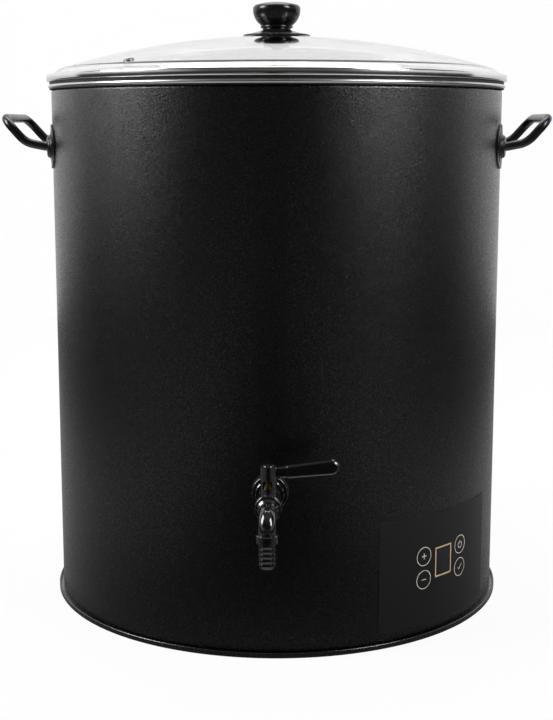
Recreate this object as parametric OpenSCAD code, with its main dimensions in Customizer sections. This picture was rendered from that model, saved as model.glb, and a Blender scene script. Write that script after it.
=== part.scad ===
// Candle wax melter: a steel pot in a round powder-coated shell, with a heater and its
// control below the pot, a draw-off ball valve at the front, two rod handles and a glass lid.
// The pot's axis is the Z axis, the table is z = 0 and the front with the tap faces -Y.

/* [Shell] */
// Outer diameter of the round shell
shell_d = 420; // [400:1:450]
// Sheet thickness of the shell
shell_wall = 1.2; // [0.8:0.1:1.6]
// Height of the pot's rim above the table
rim_z = 479.2; // [460:0.2:520]

/* [Pot] */
// Width of the space between the shell's wall and the pot's wall
wall_space = 12.8; // [12:0.1:15]
// Sheet thickness of the pot
pot_wall = 1; // [0.8:0.1:1.2]
// Height of the pot's floor above the table
pot_floor_z = 114; // [112:1:116]
// Radius between the pot's floor and its wall, inside
pot_corner_r = 8; // [6:0.5:9]
// Thickness of the rolled bead on the rim
rim_bead = 3.6; // [3:0.1:4.4]
// How far the bead stands out past the shell
rim_overhang = 2.7; // [2:0.1:3.5]
// Thickness of the seal between the bead and the shell
rim_seal_t = 0.8; // [0.6:0.1:1.2]

/* [Base] */
// Height of the base ring's outer lip
base_lip_h = 4.6; // [4:0.1:6]
// Sheet thickness of the base ring
base_wall = 1.5; // [1.2:0.1:2]
// Width of the groove between the shell and the base ring's lip
base_groove = 2.7; // [2:0.1:4]
// Height of the collar that centres the shell
base_collar_h = 12; // [10:0.5:12.5]
// Height of the underside of the ring's inner flange
base_flange_z = 6; // [5.5:0.1:7]
// Width of the ring's inner flange
base_flange_w = 19; // [16:0.5:24]
// Thickness of the bottom plate
bottom_plate_t = 1.2; // [1:0.1:1.5]
// Number of screws in the bottom plate
base_screws_n = 6; // [4:1:10]
// Width of one vent slot in the bottom plate
vent_slot_w = 3.4; // [2.5:0.1:3.5]
// Length of one vent slot in the bottom plate
vent_slot_len = 34; // [20:1:44]
// Number of vent slots in one ring
vent_slots_n = 24; // [12:1:32]

/* [Handles] */
// Diameter of the handle rod
rod_d = 8; // [7:0.1:9]
// Half the distance between a handle's two arms
handle_half_w = 50; // [44:1:60]
// Height of the arms where they leave the shell
handle_arm_z = 423.5; // [418:0.5:429]
// Upward slope of the arms, from their round plates to the knee
arm_rise_a = 11; // [0:1:14]
// Height of the crossbar
handle_bar_z = 449; // [443:0.5:453]
// Distance from the shell to the crossbar
handle_reach = 38.5; // [36:0.5:46]
// Distance from the shell to the knee, where the rod bends upwards
handle_knee = 19; // [18:0.5:20]
// Radius of the bend at the knee, at the rod's middle
knee_bend_r = 22; // [14:0.5:24]
// Radius of the corners beside the crossbar, at the rod's middle
rod_bend_r = 13; // [10:0.5:14]
// Diameter of the round plate under each arm
rose_d = 40; // [34:1:46]
// Thickness of the round plate
rose_t = 1.5; // [1:0.1:2.5]
// Height of the plate's flared boss
rose_boss_h = 5.4; // [4.5:0.1:6]
// Diameter of the stud that holds an arm
handle_stud_d = 6; // [5:0.5:6]

/* [Lid] */
// How far the lid's steel band stands out past the shell
band_overhang = 4; // [3:0.1:6]
// Height of the lid's steel band
band_h = 6.7; // [6:0.1:8]
// Sheet thickness of the band
band_wall = 0.8; // [0.6:0.1:1]
// Gap between the pot's rim and the band, which the gasket fills
lid_gap = 2.4; // [2:0.1:3]
// Depth of the skirt that centres the lid in the pot
skirt_depth = 11; // [8:0.5:14]
// Clearance between that skirt and the pot's wall
skirt_gap = 1.6; // [1:0.1:2.5]
// Height of the glass dome above the band's underside
dome_h = 42.6; // [41:0.1:45]
// Radius of the dome's crown
dome_r = 680; // [640:5:760]
// Radius of the dome's turned-down edge
dome_edge_r = 24; // [20:0.5:30]
// Thickness of the glass
glass_t = 4; // [3.5:0.1:4.5]
// Diameter of the hole in the steam vent
vent_d = 4; // [3:0.1:5]
// Distance of the steam vent from the lid's edge
vent_inset = 21; // [21:1:60]
// Direction of the steam vent, from the front towards the right
vent_az = -38; // [-90:1:90]

/* [Knob] */
// Diameter of the knob's seat disc
knob_seat_d = 42.2; // [38:0.1:46]
// Thickness of the seat disc
knob_seat_t = 1; // [0.8:0.1:1.6]
// Diameter of the knob's finger guard
guard_d = 62.8; // [56:0.2:70]
// Diameter of the knob's neck
knob_neck_d = 26.4; // [25:0.1:28]
// Diameter of the knob's head
knob_head_d = 44.6; // [43:0.2:48]
// Height of the knob above the seat disc
knob_h = 31.2; // [31:0.1:34]

/* [Tap] */
// Height of the tap's axis
tap_z = 144; // [142:0.5:145]
// Diameter of the threaded shank, a half-inch pipe thread
shank_d = 20.6; // [20:0.1:21]
// Diameter of the flange against the shell
tap_flange_d = 30; // [28:0.5:34]
// Diameter of the valve's barrel
barrel_d = 19.4; // [19:0.1:21]
// Distance from the shell to the valve's stem
stem_reach = 40; // [39:0.5:43]
// Diameter of the ball
ball_d = 15; // [14.6:0.1:15.2]
// Diameter of the passage through the tap
flow_d = 8; // [7:0.1:8.4]
// Diameter of the turret round the stem
turret_d = 13.2; // [13:0.1:14]
// Diameter of the stem
stem_d = 6; // [5.6:0.1:6.2]
// Distance from the stem to the spout's axis
spout_reach = 33; // [31:0.5:36]
// Diameter of the elbow's tube
elbow_d = 14; // [13.4:0.1:15]
// Radius of the elbow, at its middle
elbow_r = 13; // [12:0.5:15]
// Diameter of the collar nut on the spout
spout_collar_d = 17.5; // [17:0.1:19]
// Height of the collar nut
spout_collar_h = 7.1; // [6:0.1:9]
// Diameter over the hose barbs
barb_d = 14.4; // [13.8:0.1:15]
// Distance from one barb to the next
barb_pitch = 3.9; // [3.4:0.1:4.4]
// Number of barbs
barbs_n = 5; // [3:1:6]

/* [Lever] */
// Distance from the stem to the lever's tip
lever_len = 56; // [50:1:64]
// Height of the lever's paddle
paddle_h = 12.6; // [12:0.2:14]
// Thickness of the lever's paddle
paddle_t = 6; // [5:0.2:6]
// How far the lever's tip rises
lever_rise = 5; // [0:0.5:8]
// Height of the lever's hub
hub_h = 11.5; // [10:0.5:14]
// Angle that the lever turns, from shut to open
lever_turn = 90; // [60:5:90]

/* [Control panel] */
// Direction of the panel's middle, from the front towards the right
panel_az = 45.7; // [40:0.1:60]
// Width of the panel, along the shell
panel_w = 145; // [140:1:160]
// Height of the panel's lower edge
panel_z = 11.9; // [11:0.1:15]
// Height of the panel
panel_h = 98; // [96:1:99]
// Thickness of the panel's film
film_t = 0.4; // [0.3:0.1:0.8]
// Width of the display's window
display_w = 22; // [18:0.5:26]
// Height of the display's window
display_h = 27; // [22:0.5:30]
// Height of the display's middle
display_z = 64.9; // [61:0.1:69]
// Diameter of a touch key
key_d = 16.5; // [12:0.5:18]
// Distance from the display's middle to a column of keys
key_x = 24.8; // [23:0.1:28]
// Height of the middle between a column's two keys
key_mid_z = 63; // [60:0.1:67]
// Distance between a column's two keys
key_pitch = 21; // [19:0.5:24]

/* [Inside] */
// Distance from the edge of the heater plate to the pot's wall
heater_inset = 45; // [40:1:60]
// Thickness of the heater plate
heater_t = 6; // [5:0.5:7]
// Diameter of the tubular heating element
element_d = 8; // [7:0.5:9]
// Distance from the heating element's ring to the edge of the heater plate
element_inset = 45; // [30:1:55]
// Height of the side heater's lower edge
side_heater_z = 190; // [180:1:220]
// Height of the side heater
side_heater_h = 60; // [40:1:90]
// Thickness of the side heater
side_heater_t = 2.5; // [2:0.1:3.5]
// Height of the insulation's lower edge
blanket_z = 168; // [165:1:176]
// Height of the insulation round the pot
blanket_h = 236; // [180:1:238]
// Thickness of the insulation under the pot
felt_t = 9; // [6:0.5:10]
// Distance from the pot's floor down to the heat shield
shield_drop = 26; // [25:0.5:28]
// Thickness of a circuit board
board_t = 1.6; // [1.2:0.1:2]

/* [Cord gland] */
// Height of the cord gland's axis
gland_z = 40; // [34:1:60]
// Diameter of the gland's thread
gland_d = 16; // [12:0.5:20]
// Diameter of the cord that the gland takes
gland_bore_d = 7.8; // [6:0.1:9]

/* [Clearances] */
// Clearance of a hole round a stud or a thread that passes through it
pass_gap = 0.3; // [0.1:0.05:0.5]
// Clearance of a turning fit, on the radius
turn_gap = 0.06; // [0.02:0.01:0.1]
// Clearance round the glass in its steel band
glass_gap = 0.3; // [0.2:0.05:0.5]
// Clearance between the lid and the pot
lid_rest_gap = 0.1; // [0.05:0.05:0.3]

/* [Hidden] */
$fn = 96;
small_fn = 48;
wall_fn = 360;
hex_fn = 6;
cut = 1;

// Shell, pot and base
shell_r = shell_d / 2;
shell_in_r = shell_r - shell_wall;
pot_out_r = shell_in_r - wall_space;
pot_r = pot_out_r - pot_wall;
bead_r = rim_bead / 2;
bead_mid_r = shell_r + rim_overhang - bead_r;
shell_top_z = rim_z - rim_bead - rim_seal_t;
shell_hem = 10;
shell_bend_r = 2.4;
seal_in_r = shell_r - shell_hem;
base_r = shell_r + base_groove + base_wall;
collar_r = shell_in_r - 0.4;
plate_r = collar_r - base_wall - pass_gap;
plate_top_z = base_flange_z;
plate_low_z = plate_top_z - bottom_plate_t;
base_screw_d = 4;
base_screw_r = collar_r - base_wall - base_flange_w * 0.45;
base_screw_az = 30;

// Handles
arm_shell_x = sqrt(shell_r * shell_r - handle_half_w * handle_half_w);
arm_inner_x = sqrt(shell_in_r * shell_in_r - handle_half_w * handle_half_w);
bar_x = shell_r + handle_reach;
knee_x = shell_r + handle_knee;
rise_x = arm_shell_x + rose_boss_h + 1.2;
knee_z = handle_arm_z + (knee_x - rise_x) * tan(arm_rise_a);
slope_dx = bar_x - knee_x;
slope_dz = handle_bar_z - knee_z;
slope_a = atan2(slope_dz, slope_dx);
slope_len = sqrt(slope_dx * slope_dx + slope_dz * slope_dz);
rise_bend_r = 10;
rise_setback = rise_bend_r * tan(arm_rise_a / 2);
knee_setback = knee_bend_r * tan((slope_a - arm_rise_a) / 2);
rose_a = asin(handle_half_w / shell_r);
saddle_d = 18;
saddle_t = 3;
handle_nut_t = 5;
handle_nut_af = 10;
saddle_x = arm_inner_x - saddle_t;
stud_end_x = saddle_x - handle_nut_t - 1.5;

// Lid and knob
lid_z = rim_z + lid_gap;
band_r = shell_r + band_overhang;
vent_r = band_r - vent_inset;
band_bend_r = 1.6;
skirt_r = pot_r - skirt_gap;
dome_top_z = lid_z + dome_h;
dome_mid_z = dome_top_z - dome_r;
glass_low_z = lid_z + band_wall;
glass_end_r = band_r - band_wall - glass_gap;
edge_b = dome_r - dome_edge_r;
edge_c = sqrt(glass_end_r * glass_end_r + pow(glass_low_z - dome_mid_z, 2));
edge_lift_a = atan2(glass_end_r, glass_low_z - dome_mid_z)
    - acos((edge_b * edge_b + edge_c * edge_c - dome_edge_r * dome_edge_r) / (2 * edge_b * edge_c));
edge_mid_r = edge_b * sin(edge_lift_a);
edge_mid_z = dome_mid_z + edge_b * cos(edge_lift_a);
glass_hole_d = 9;
seat_top_z = dome_top_z + knob_seat_t;
knob_screw_d = 6;
knob_screw_in = 14;
washer_t = 1.5;
washer_dip = 0.12;
glass_under_z = dome_top_z - glass_t;
vent_tilt = asin(vent_r / dome_r);

// Tap: distances are measured outwards from the pot's axis
hex_af_shank = 27;
gasket_t = 3.5;
flange_t = 3.5;
flange_out = shell_r + gasket_t;
barrel_out = flange_out + flange_t;
stem_out = shell_r + stem_reach;
spout_out = stem_out + spout_reach;
ball_r = ball_d / 2;
cavity_r = ball_r + 0.6;
seat_len = 5;
seat_reach = ball_r + 2.4;
barrel_end = stem_out + 12;
shank_end = pot_r - 17;
back_nut_t = 8;
inner_gasket_t = 4.5;
back_nut_out = pot_r - inner_gasket_t;
turret_top = 20.3;
recess_floor = 9;
recess_r = turret_d / 2 - 2;
packing_t = 3;
packing_nut_t = 6.2;
notch_floor = 14.5;
lug_w = 30;
lug_gap = 2;
hub_low = turret_top + 0.4;
hub_r = turret_d / 2 + 0.1;
elbow_z = tap_z - elbow_r;
spout_top_z = elbow_z - 0.6;
barb_top_z = spout_top_z - spout_collar_h;
barb_low_z = barb_top_z - barbs_n * barb_pitch;
barb_root_d = barb_d - 2;
elbow_flow_d = flow_d + 1;

// Control panel
film_r = shell_r + film_t;
panel_a = panel_w / shell_r * 180 / PI;
window_margin = 11;
window_a = (panel_w - 2 * window_margin) / shell_r * 180 / PI;
window_z = panel_z + window_margin;
window_h = panel_h - 2 * window_margin;
housing_rim = 7;
housing_a = (panel_w - 2 * housing_rim) / shell_r * 180 / PI;
housing_z = panel_z + housing_rim;
housing_h = panel_h - 2 * housing_rim;
housing_wall = 2.4;
housing_depth = 26;
board_inset = 24.5;
board_inset_z = 16;
housing_face_r = shell_in_r - housing_wall;
housing_back_r = shell_in_r - housing_depth;
board_w = panel_w - 2 * board_inset;
board_h = panel_h - 2 * board_inset_z;
board_low_z = panel_z + board_inset_z;
board_out = housing_face_r - 14;
module_t = 8;
housing_stud_d = 4;
film_glue = 0.12;

// Inside
heater_d = 2 * (pot_r - heater_inset);
element_ring_r = heater_d / 2 - element_inset;
plate_z = pot_floor_z - pot_wall - heater_t;
shield_z = pot_floor_z - shield_drop;
shield_r = housing_back_r - 1.5;
shield_t = 0.8;
shield_rim_h = 9;
stud_ring_r = heater_d / 2 + 12;
stud_d = 5;
felt_z = shield_z + shield_t;
felt_r = heater_d / 2 - 4;
cutout_d = 16;
cutout_h = 9;
probe_d = 5;
probe_x = 40;
post_h = 10;
power_board_w = 120;
power_board_d = 80;
power_board_y = 70;
post_inset = 6;
gland_hex = 20;
gland_flange_t = 5;
gland_cap_h = 14;
gland_inner = 9;

// Points on an arc, from angle a0 to angle a1
function arc(cx, cz, r, a0, a1, steps) =
    [for (i = [0:steps]) let (a = a0 + (a1 - a0) * i / steps) [cx + r * cos(a), cz + r * sin(a)]];

// Points on a curve from p to r that is drawn towards q
function curve(p, q, r, steps) =
    [for (i = [0:steps]) let (t = i / steps) (1 - t) * (1 - t) * p + 2 * t * (1 - t) * q + t * t * r];

// Circle that a hexagon of the given width across its flats fits in
function hex_r(flats) = flats / 2 / cos(30);

// Distance along a flat piece's normal to the inside of a round wall
function wall_out(r, x) = sqrt(r * r - x * x);

// Local Z runs outwards to the front at the height of the tap
module along_tap() {
    translate([0, 0, tap_z])
        rotate([90, 0, 0])
            children();
}

// Local X runs outwards in the direction az, from the front towards the right
module facing(az) {
    rotate([0, 0, az - 90])
        children();
}

// Local Z runs outwards to the right
module along_right() {
    rotate([0, 90, 0])
        children();
}

// A curved plate on the shell: radii r0 to r1, angle a, heights z0 to z0 + h
module curved_plate(az, r0, r1, a, z0, h) {
    facing(az - a / 2)
        rotate_extrude(angle = a)
            translate([r0, z0])
                square([r1 - r0, h]);
}

// A round tube along local Z
module tube(outer_r, inner_r, h) {
    difference() {
        cylinder(r = outer_r, h = h);
        translate([0, 0, -cut])
            cylinder(r = inner_r, h = h + 2 * cut);
    }
}

// Both arms of both handles: local X runs outwards along an arm
module each_arm(sides) {
    for (side = sides)
        for (y = [-handle_half_w, handle_half_w])
            mirror([side < 0 ? 1 : 0, 0, 0])
                translate([0, y, handle_arm_z])
                    children();
}

// ---- shell, pot and base ----

module outer_shell() {
    color("#1b1b1c")
        difference() {
            rotate_extrude()
                polygon(concat(
                    [[shell_in_r, base_wall], [shell_r, base_wall]],
                    arc(shell_r - shell_bend_r, shell_top_z - shell_bend_r, shell_bend_r, 0, 90, 6),
                    [[shell_r - shell_hem, shell_top_z], [shell_r - shell_hem, shell_top_z - shell_wall]],
                    arc(shell_r - shell_bend_r, shell_top_z - shell_bend_r,
                        shell_bend_r - shell_wall, 90, 0, 6)));
            along_tap()
                translate([0, 0, shell_in_r - 4])
                    cylinder(d = shank_d + 2 * pass_gap, h = 8);
            each_arm([-1, 1])
                translate([arm_inner_x - 4, 0, 0])
                    along_right()
                        cylinder(d = handle_stud_d + 2 * pass_gap, h = 12, $fn = small_fn);
            translate([0, 0, gland_z])
                rotate([-90, 0, 0])
                    translate([0, 0, shell_in_r - 4])
                        cylinder(d = gland_d + 2 * pass_gap, h = 8, $fn = small_fn);
            curved_plate(panel_az, shell_in_r - 2, shell_r + 2, window_a, window_z, window_h);
        }
}

module inner_pot() {
    wall_top = rim_z - pot_wall;
    bead_start_a = 180 - asin((bead_r - pot_wall) / bead_r);
    color("#c9cbcc")
        difference() {
            rotate_extrude()
                polygon(concat(
                    arc(pot_r - pot_corner_r, pot_floor_z + pot_corner_r,
                        pot_corner_r + pot_wall, -90, 0, 8),
                    [[pot_out_r, wall_top - 2]],
                    arc(pot_out_r + 2, wall_top - 2, 2, 180, 90, 4),
                    arc(bead_mid_r, rim_z - bead_r, bead_r, bead_start_a, 450, 24),
                    arc(pot_out_r + 2, wall_top - 2, 2 + pot_wall, 90, 180, 5),
                    arc(pot_r - pot_corner_r, pot_floor_z + pot_corner_r, pot_corner_r, 0, -90, 8)));
            along_tap()
                translate([0, 0, pot_r - 4])
                    cylinder(d = shank_d + 2 * pass_gap, h = 8);
        }
}

// Round floor of the pot, joined to the wall's corner all round
module pot_floor() {
    color("#c6c8c9")
        translate([0, 0, pot_floor_z - pot_wall])
            cylinder(r = pot_r - pot_corner_r - 0.04, h = pot_wall, $fn = wall_fn);
}

module rim_seal() {
    color("#111111")
        translate([0, 0, shell_top_z])
            tube(bead_mid_r + bead_r * 0.4, seal_in_r, rim_seal_t);
}

module base_ring() {
    collar_in_r = collar_r - base_wall;
    flange_in_r = collar_in_r - base_flange_w;
    lip_r = base_wall / 2;
    color("#18181a")
        difference() {
            rotate_extrude()
                polygon(concat(
                    [[collar_in_r, 0], [base_r - 0.4, 0], [base_r, 0.4]],
                    arc(base_r - lip_r, base_lip_h - lip_r, lip_r, 0, 180, 8),
                    [[base_r - base_wall, base_wall], [collar_r, base_wall],
                    [collar_r, base_wall + base_collar_h], [collar_in_r, base_wall + base_collar_h],
                    [collar_in_r, base_flange_z + base_wall], [flange_in_r, base_flange_z + base_wall],
                    [flange_in_r, base_flange_z], [collar_in_r, base_flange_z]]));
            base_screw_places()
                translate([0, 0, base_flange_z - cut])
                    cylinder(d = base_screw_d - 0.4, h = base_wall + 2 * cut, $fn = small_fn);
        }
}

module base_screw_places() {
    for (i = [0:base_screws_n - 1])
        rotate([0, 0, base_screw_az + i * 360 / base_screws_n])
            translate([base_screw_r, 0, 0])
                children();
}

module vent_slot(r) {
    translate([r, 0, 0]) {
        translate([0, -vent_slot_w / 2, 0])
            cube([vent_slot_len, vent_slot_w, bottom_plate_t + 2 * cut]);
        for (x = [0, vent_slot_len])
            translate([x, 0, 0])
                cylinder(d = vent_slot_w, h = bottom_plate_t + 2 * cut, $fn = small_fn);
    }
}

module bottom_plate() {
    slot_r = plate_r * 0.56;
    color("#2a2b2d")
        difference() {
            translate([0, 0, plate_low_z])
                cylinder(r = plate_r, h = bottom_plate_t);
            translate([0, 0, plate_low_z - cut])
                for (i = [0:vent_slots_n - 1])
                    rotate([0, 0, i * 360 / vent_slots_n])
                        vent_slot(slot_r);
            base_screw_places()
                translate([0, 0, plate_low_z - cut])
                    cylinder(d = base_screw_d + 2 * pass_gap, h = bottom_plate_t + 2 * cut, $fn = small_fn);
            board_post_places()
                translate([0, 0, plate_low_z - cut])
                    cylinder(d = 3, h = bottom_plate_t + 2 * cut, $fn = small_fn);
        }
}

module base_screws() {
    head_t = 2.2;
    color("#8d9093")
        base_screw_places()
            translate([0, 0, plate_low_z]) {
                translate([0, 0, -head_t])
                    cylinder(d = base_screw_d * 1.9, h = head_t, $fn = small_fn);
                cylinder(d = base_screw_d - 0.4, h = bottom_plate_t + base_wall + 3, $fn = small_fn);
            }
}

// ---- handles ----

// One straight run of the rod along local Z, with what follows at its end
module rod_run(len) {
    cylinder(d = rod_d, h = len, $fn = small_fn);
    translate([0, 0, len])
        children();
}

// One bend of radius r from local Z towards local X, with what follows at its end
module rod_bend(a, r) {
    if (a > 0)
        translate([r, 0, 0])
            rotate([90, 0, 0])
                rotate([0, 0, 180 - a])
                    rotate_extrude(angle = a, $fn = small_fn)
                        translate([r, 0])
                            circle(d = rod_d, $fn = small_fn);
    translate([r, 0, 0])
        rotate([0, a, 0])
            translate([-r, 0, 0])
                children();
}

// Half of a handle: stud, rising arm, knee, corner and half of the crossbar
module half_handle() {
    arm_start = arm_shell_x + 2;
    translate([stud_end_x, handle_half_w, handle_arm_z])
        along_right()
            cylinder(d = handle_stud_d, h = arm_start - stud_end_x + cut, $fn = small_fn);
    translate([arm_start, handle_half_w, handle_arm_z])
        along_right()
            rotate([0, 0, 180])
                rod_run(rise_x - rise_setback - arm_start)
                    rod_bend(arm_rise_a, rise_bend_r)
                        rod_run((knee_x - rise_x) / cos(arm_rise_a) - rise_setback - knee_setback)
                            rod_bend(slope_a - arm_rise_a, knee_bend_r)
                                rod_run(slope_len - knee_setback - rod_bend_r)
                                    rotate([0, 0, 90])
                                        rod_bend(90, rod_bend_r)
                                            rod_run(handle_half_w - rod_bend_r);
}

module handle(side) {
    color("#141415")
        mirror([side < 0 ? 1 : 0, 0, 0]) {
            half_handle();
            mirror([0, 1, 0])
                half_handle();
        }
}

module handle_left() handle(-1);

module handle_right() handle(1);

// Round plate that lies on the curved shell, with a flared boss round the arm
module rose() {
    foot_r = rose_d * 0.39;
    ring_r = rose_d * 0.26;
    top_r = rod_d / 2 + 2.6;
    difference() {
        union() {
            intersection() {
                translate([arm_shell_x, 0, 0])
                    rotate([0, 0, rose_a])
                        along_right()
                            translate([0, 0, -8])
                                cylinder(d = rose_d, h = 20);
                translate([0, -handle_half_w, -rose_d])
                    cylinder(r = shell_r + rose_t, h = 2 * rose_d, $fn = wall_fn);
            }
            translate([arm_shell_x, 0, 0])
                rotate([0, 0, rose_a])
                    along_right()
                        rotate_extrude()
                            polygon(concat(
                                [[0, -1.5], [foot_r, -1.5], [foot_r, rose_t - 0.1]],
                                curve([foot_r - 0.4, rose_t + 0.1], [ring_r + 0.6, rose_t + 0.3],
                                    [ring_r, rose_boss_h - 2.4], 5),
                                curve([ring_r - 0.1, rose_boss_h - 1.9], [ring_r - 0.6, rose_boss_h - 0.2],
                                    [top_r, rose_boss_h], 5),
                                [[0, rose_boss_h]]));
        }
        translate([0, -handle_half_w, -rose_d])
            cylinder(r = shell_r, h = 2 * rose_d, $fn = wall_fn);
        translate([arm_shell_x - 10, 0, 0])
            along_right()
                cylinder(d = handle_stud_d + 2 * pass_gap, h = 12.5, $fn = small_fn);
        translate([arm_shell_x + 2 - 0.01, 0, 0])
            along_right()
                cylinder(d = rod_d + 0.1, h = 20, $fn = small_fn);
    }
}

module roses(side) {
    color("#161617")
        mirror([side < 0 ? 1 : 0, 0, 0])
            for (m = [0, 1])
                mirror([0, m, 0])
                    translate([0, handle_half_w, handle_arm_z])
                        rose();
}

module handle_roses_left() roses(-1);

module handle_roses_right() roses(1);

// Saddle washers between the curved shell and the flat nuts
module handle_saddles() {
    color("#9a9da0")
        for (side = [0, 1])
            for (m = [0, 1])
                mirror([side, 0, 0])
                    mirror([0, m, 0])
                        difference() {
                            intersection() {
                                translate([saddle_x, handle_half_w, handle_arm_z])
                                    along_right()
                                        cylinder(d = saddle_d, h = 12, $fn = small_fn);
                                translate([0, 0, handle_arm_z - saddle_d])
                                    cylinder(r = shell_in_r, h = 2 * saddle_d, $fn = wall_fn);
                            }
                            translate([saddle_x - cut, handle_half_w, handle_arm_z])
                                along_right()
                                    cylinder(d = handle_stud_d + 2 * pass_gap, h = 20, $fn = small_fn);
                        }
}

module handle_nuts() {
    color("#9a9da0")
        each_arm([-1, 1])
            translate([saddle_x - handle_nut_t, 0, 0])
                along_right()
                    difference() {
                        cylinder(r = hex_r(handle_nut_af), h = handle_nut_t, $fn = hex_fn);
                        translate([0, 0, -cut])
                            cylinder(d = handle_stud_d, h = handle_nut_t + 2 * cut, $fn = small_fn);
                    }
}

// ---- tap ----

// Everything of the tap that turns about the stem: local Z is up, z = 0 is the tap's axis
module at_stem() {
    translate([0, -stem_out, tap_z])
        children();
}

// Notch in the turret that stops the lever at both ends of its turn
module stop_notch() {
    notch_a = lever_turn + lug_w + lug_gap;
    rotate([0, 0, -90 - notch_a / 2])
        rotate_extrude(angle = notch_a)
            translate([recess_r - 1, notch_floor])
                square([turret_d, turret_top]);
}

module tap_body() {
    ring_w = 2.2;
    barrel_r = barrel_d / 2;
    color("#1a1a1b")
        difference() {
            union() {
                along_tap()
                    rotate_extrude()
                        polygon(concat(
                            [[0, shank_end], [shank_d / 2 - 1, shank_end], [shank_d / 2, shank_end + 1],
                            [shank_d / 2, flange_out], [tap_flange_d / 2 - 0.6, flange_out]],
                            arc(tap_flange_d / 2 - 1.2, barrel_out - 1.2, 1.2, 0, 90, 5),
                            [[barrel_r + 2.4, barrel_out], [barrel_r + 2.4, barrel_out + 3.4],
                            [barrel_r + 1.6, barrel_out + 4.2], [barrel_r, barrel_out + 4.2],
                            [barrel_r, barrel_end - 2 * ring_w - 1]],
                            arc(barrel_r, barrel_end - 1.5 * ring_w - 0.4, ring_w / 2, -90, 90, 6),
                            arc(barrel_r, barrel_end - ring_w / 2, ring_w / 2, -90, 90, 6),
                            [[0, barrel_end]]));
                at_stem()
                    cylinder(d = turret_d, h = turret_top, $fn = small_fn);
            }
            along_tap() {
                translate([0, 0, shank_end - cut])
                    cylinder(d = elbow_flow_d, h = barrel_end - shank_end, $fn = small_fn);
                translate([0, 0, stem_out - seat_reach])
                    cylinder(r = cavity_r, h = barrel_end, $fn = small_fn);
            }
            at_stem() {
                cylinder(d = stem_d + 2 * turn_gap, h = turret_top, $fn = small_fn);
                translate([0, 0, recess_floor])
                    cylinder(r = recess_r, h = turret_top, $fn = small_fn);
                stop_notch();
            }
        }
}

// Gasket between the flange and the curved shell
module tap_gasket_outer() {
    color("#2b2b2d")
        difference() {
            along_tap()
                translate([0, 0, flange_out - 12])
                    tube(tap_flange_d / 2 + 0.4, shank_d / 2 + 0.05, 12);
            cylinder(r = shell_r, h = 2 * tap_z, $fn = wall_fn);
        }
}

// Gasket between the back nut and the pot's curved wall
module tap_gasket_inner() {
    color("#b9503a")
        intersection() {
            along_tap()
                translate([0, 0, back_nut_out])
                    tube(hex_r(hex_af_shank), shank_d / 2 + 0.05, inner_gasket_t + 2);
            cylinder(r = pot_r, h = 2 * tap_z, $fn = wall_fn);
        }
}

// Spacer that keeps the pot and the shell apart when the back nut is tightened
module tap_spacer() {
    color("#b8babc")
        intersection() {
            along_tap()
                translate([0, 0, pot_r - 10])
                    tube(shank_d / 2 + 4, shank_d / 2 + pass_gap, 40);
            difference() {
                cylinder(r = shell_in_r, h = 2 * tap_z, $fn = wall_fn);
                translate([0, 0, -cut])
                    cylinder(r = pot_out_r, h = 2 * tap_z + 2 * cut, $fn = wall_fn);
            }
        }
}

module tap_back_nut() {
    color("#c9a95a")
        along_tap()
            translate([0, 0, back_nut_out - back_nut_t])
                difference() {
                    cylinder(r = hex_r(hex_af_shank), h = back_nut_t, $fn = hex_fn);
                    translate([0, 0, -cut])
                        cylinder(d = shank_d, h = back_nut_t + 2 * cut);
                }
}

// The two rings that the ball turns in
module ball_seats() {
    color("#f0efe8")
        along_tap()
            translate([0, 0, stem_out])
                for (m = [0, 1])
                    mirror([0, 0, m])
                        difference() {
                            translate([0, 0, seat_reach - seat_len])
                                cylinder(r = cavity_r, h = seat_len, $fn = small_fn);
                            cylinder(d = elbow_flow_d, h = 2 * seat_reach, $fn = small_fn);
                            sphere(r = ball_r + turn_gap);
                        }
}

module packing_ring() {
    color("#f0efe8")
        at_stem()
            translate([0, 0, recess_floor])
                tube(recess_r, stem_d / 2 + turn_gap, packing_t, $fn = small_fn);
}

module packing_nut() {
    low = recess_floor + packing_t;
    color("#c39b4e")
        at_stem()
            translate([0, 0, low])
                difference() {
                    cylinder(r = recess_r - 0.15, h = packing_nut_t, $fn = small_fn);
                    translate([0, 0, -cut])
                        cylinder(d = stem_d + 2 * turn_gap, h = packing_nut_t + 2 * cut, $fn = small_fn);
                    for (a = [0, 90])
                        rotate([0, 0, a + 45])
                            translate([-turret_d, -0.6, packing_nut_t - 1.4])
                                cube([2 * turret_d, 1.2, 2]);
                }
}

// Elbow from the valve's barrel down to the spout, with a plug that holds the front seat
module spout_elbow() {
    seat_end = stem_out + seat_reach;
    tube_r = elbow_d / 2;
    bend_start = spout_out - elbow_r;
    color("#1a1a1b")
        difference() {
            union() {
                along_tap() {
                    translate([0, 0, seat_end])
                        cylinder(r = cavity_r - 0.05, h = barrel_end - seat_end + 0.5, $fn = small_fn);
                    translate([0, 0, barrel_end])
                        cylinder(d = barrel_d - 0.6, h = 1.6, $fn = small_fn);
                    translate([0, 0, barrel_end + 1.6])
                        cylinder(d1 = barrel_d - 1.8, d2 = elbow_d, h = 2, $fn = small_fn);
                    translate([0, 0, barrel_end])
                        cylinder(r = tube_r, h = bend_start - barrel_end, $fn = small_fn);
                }
                elbow_bend(tube_r);
                translate([0, -spout_out, spout_top_z])
                    cylinder(r = tube_r, h = elbow_z - spout_top_z, $fn = small_fn);
            }
            along_tap()
                translate([0, 0, seat_end - cut])
                    cylinder(d = elbow_flow_d, h = bend_start - seat_end + cut, $fn = small_fn);
            elbow_bend(elbow_flow_d / 2);
            translate([0, -spout_out, spout_top_z - cut])
                cylinder(d = elbow_flow_d, h = elbow_z - spout_top_z + cut, $fn = small_fn);
        }
}

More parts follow.
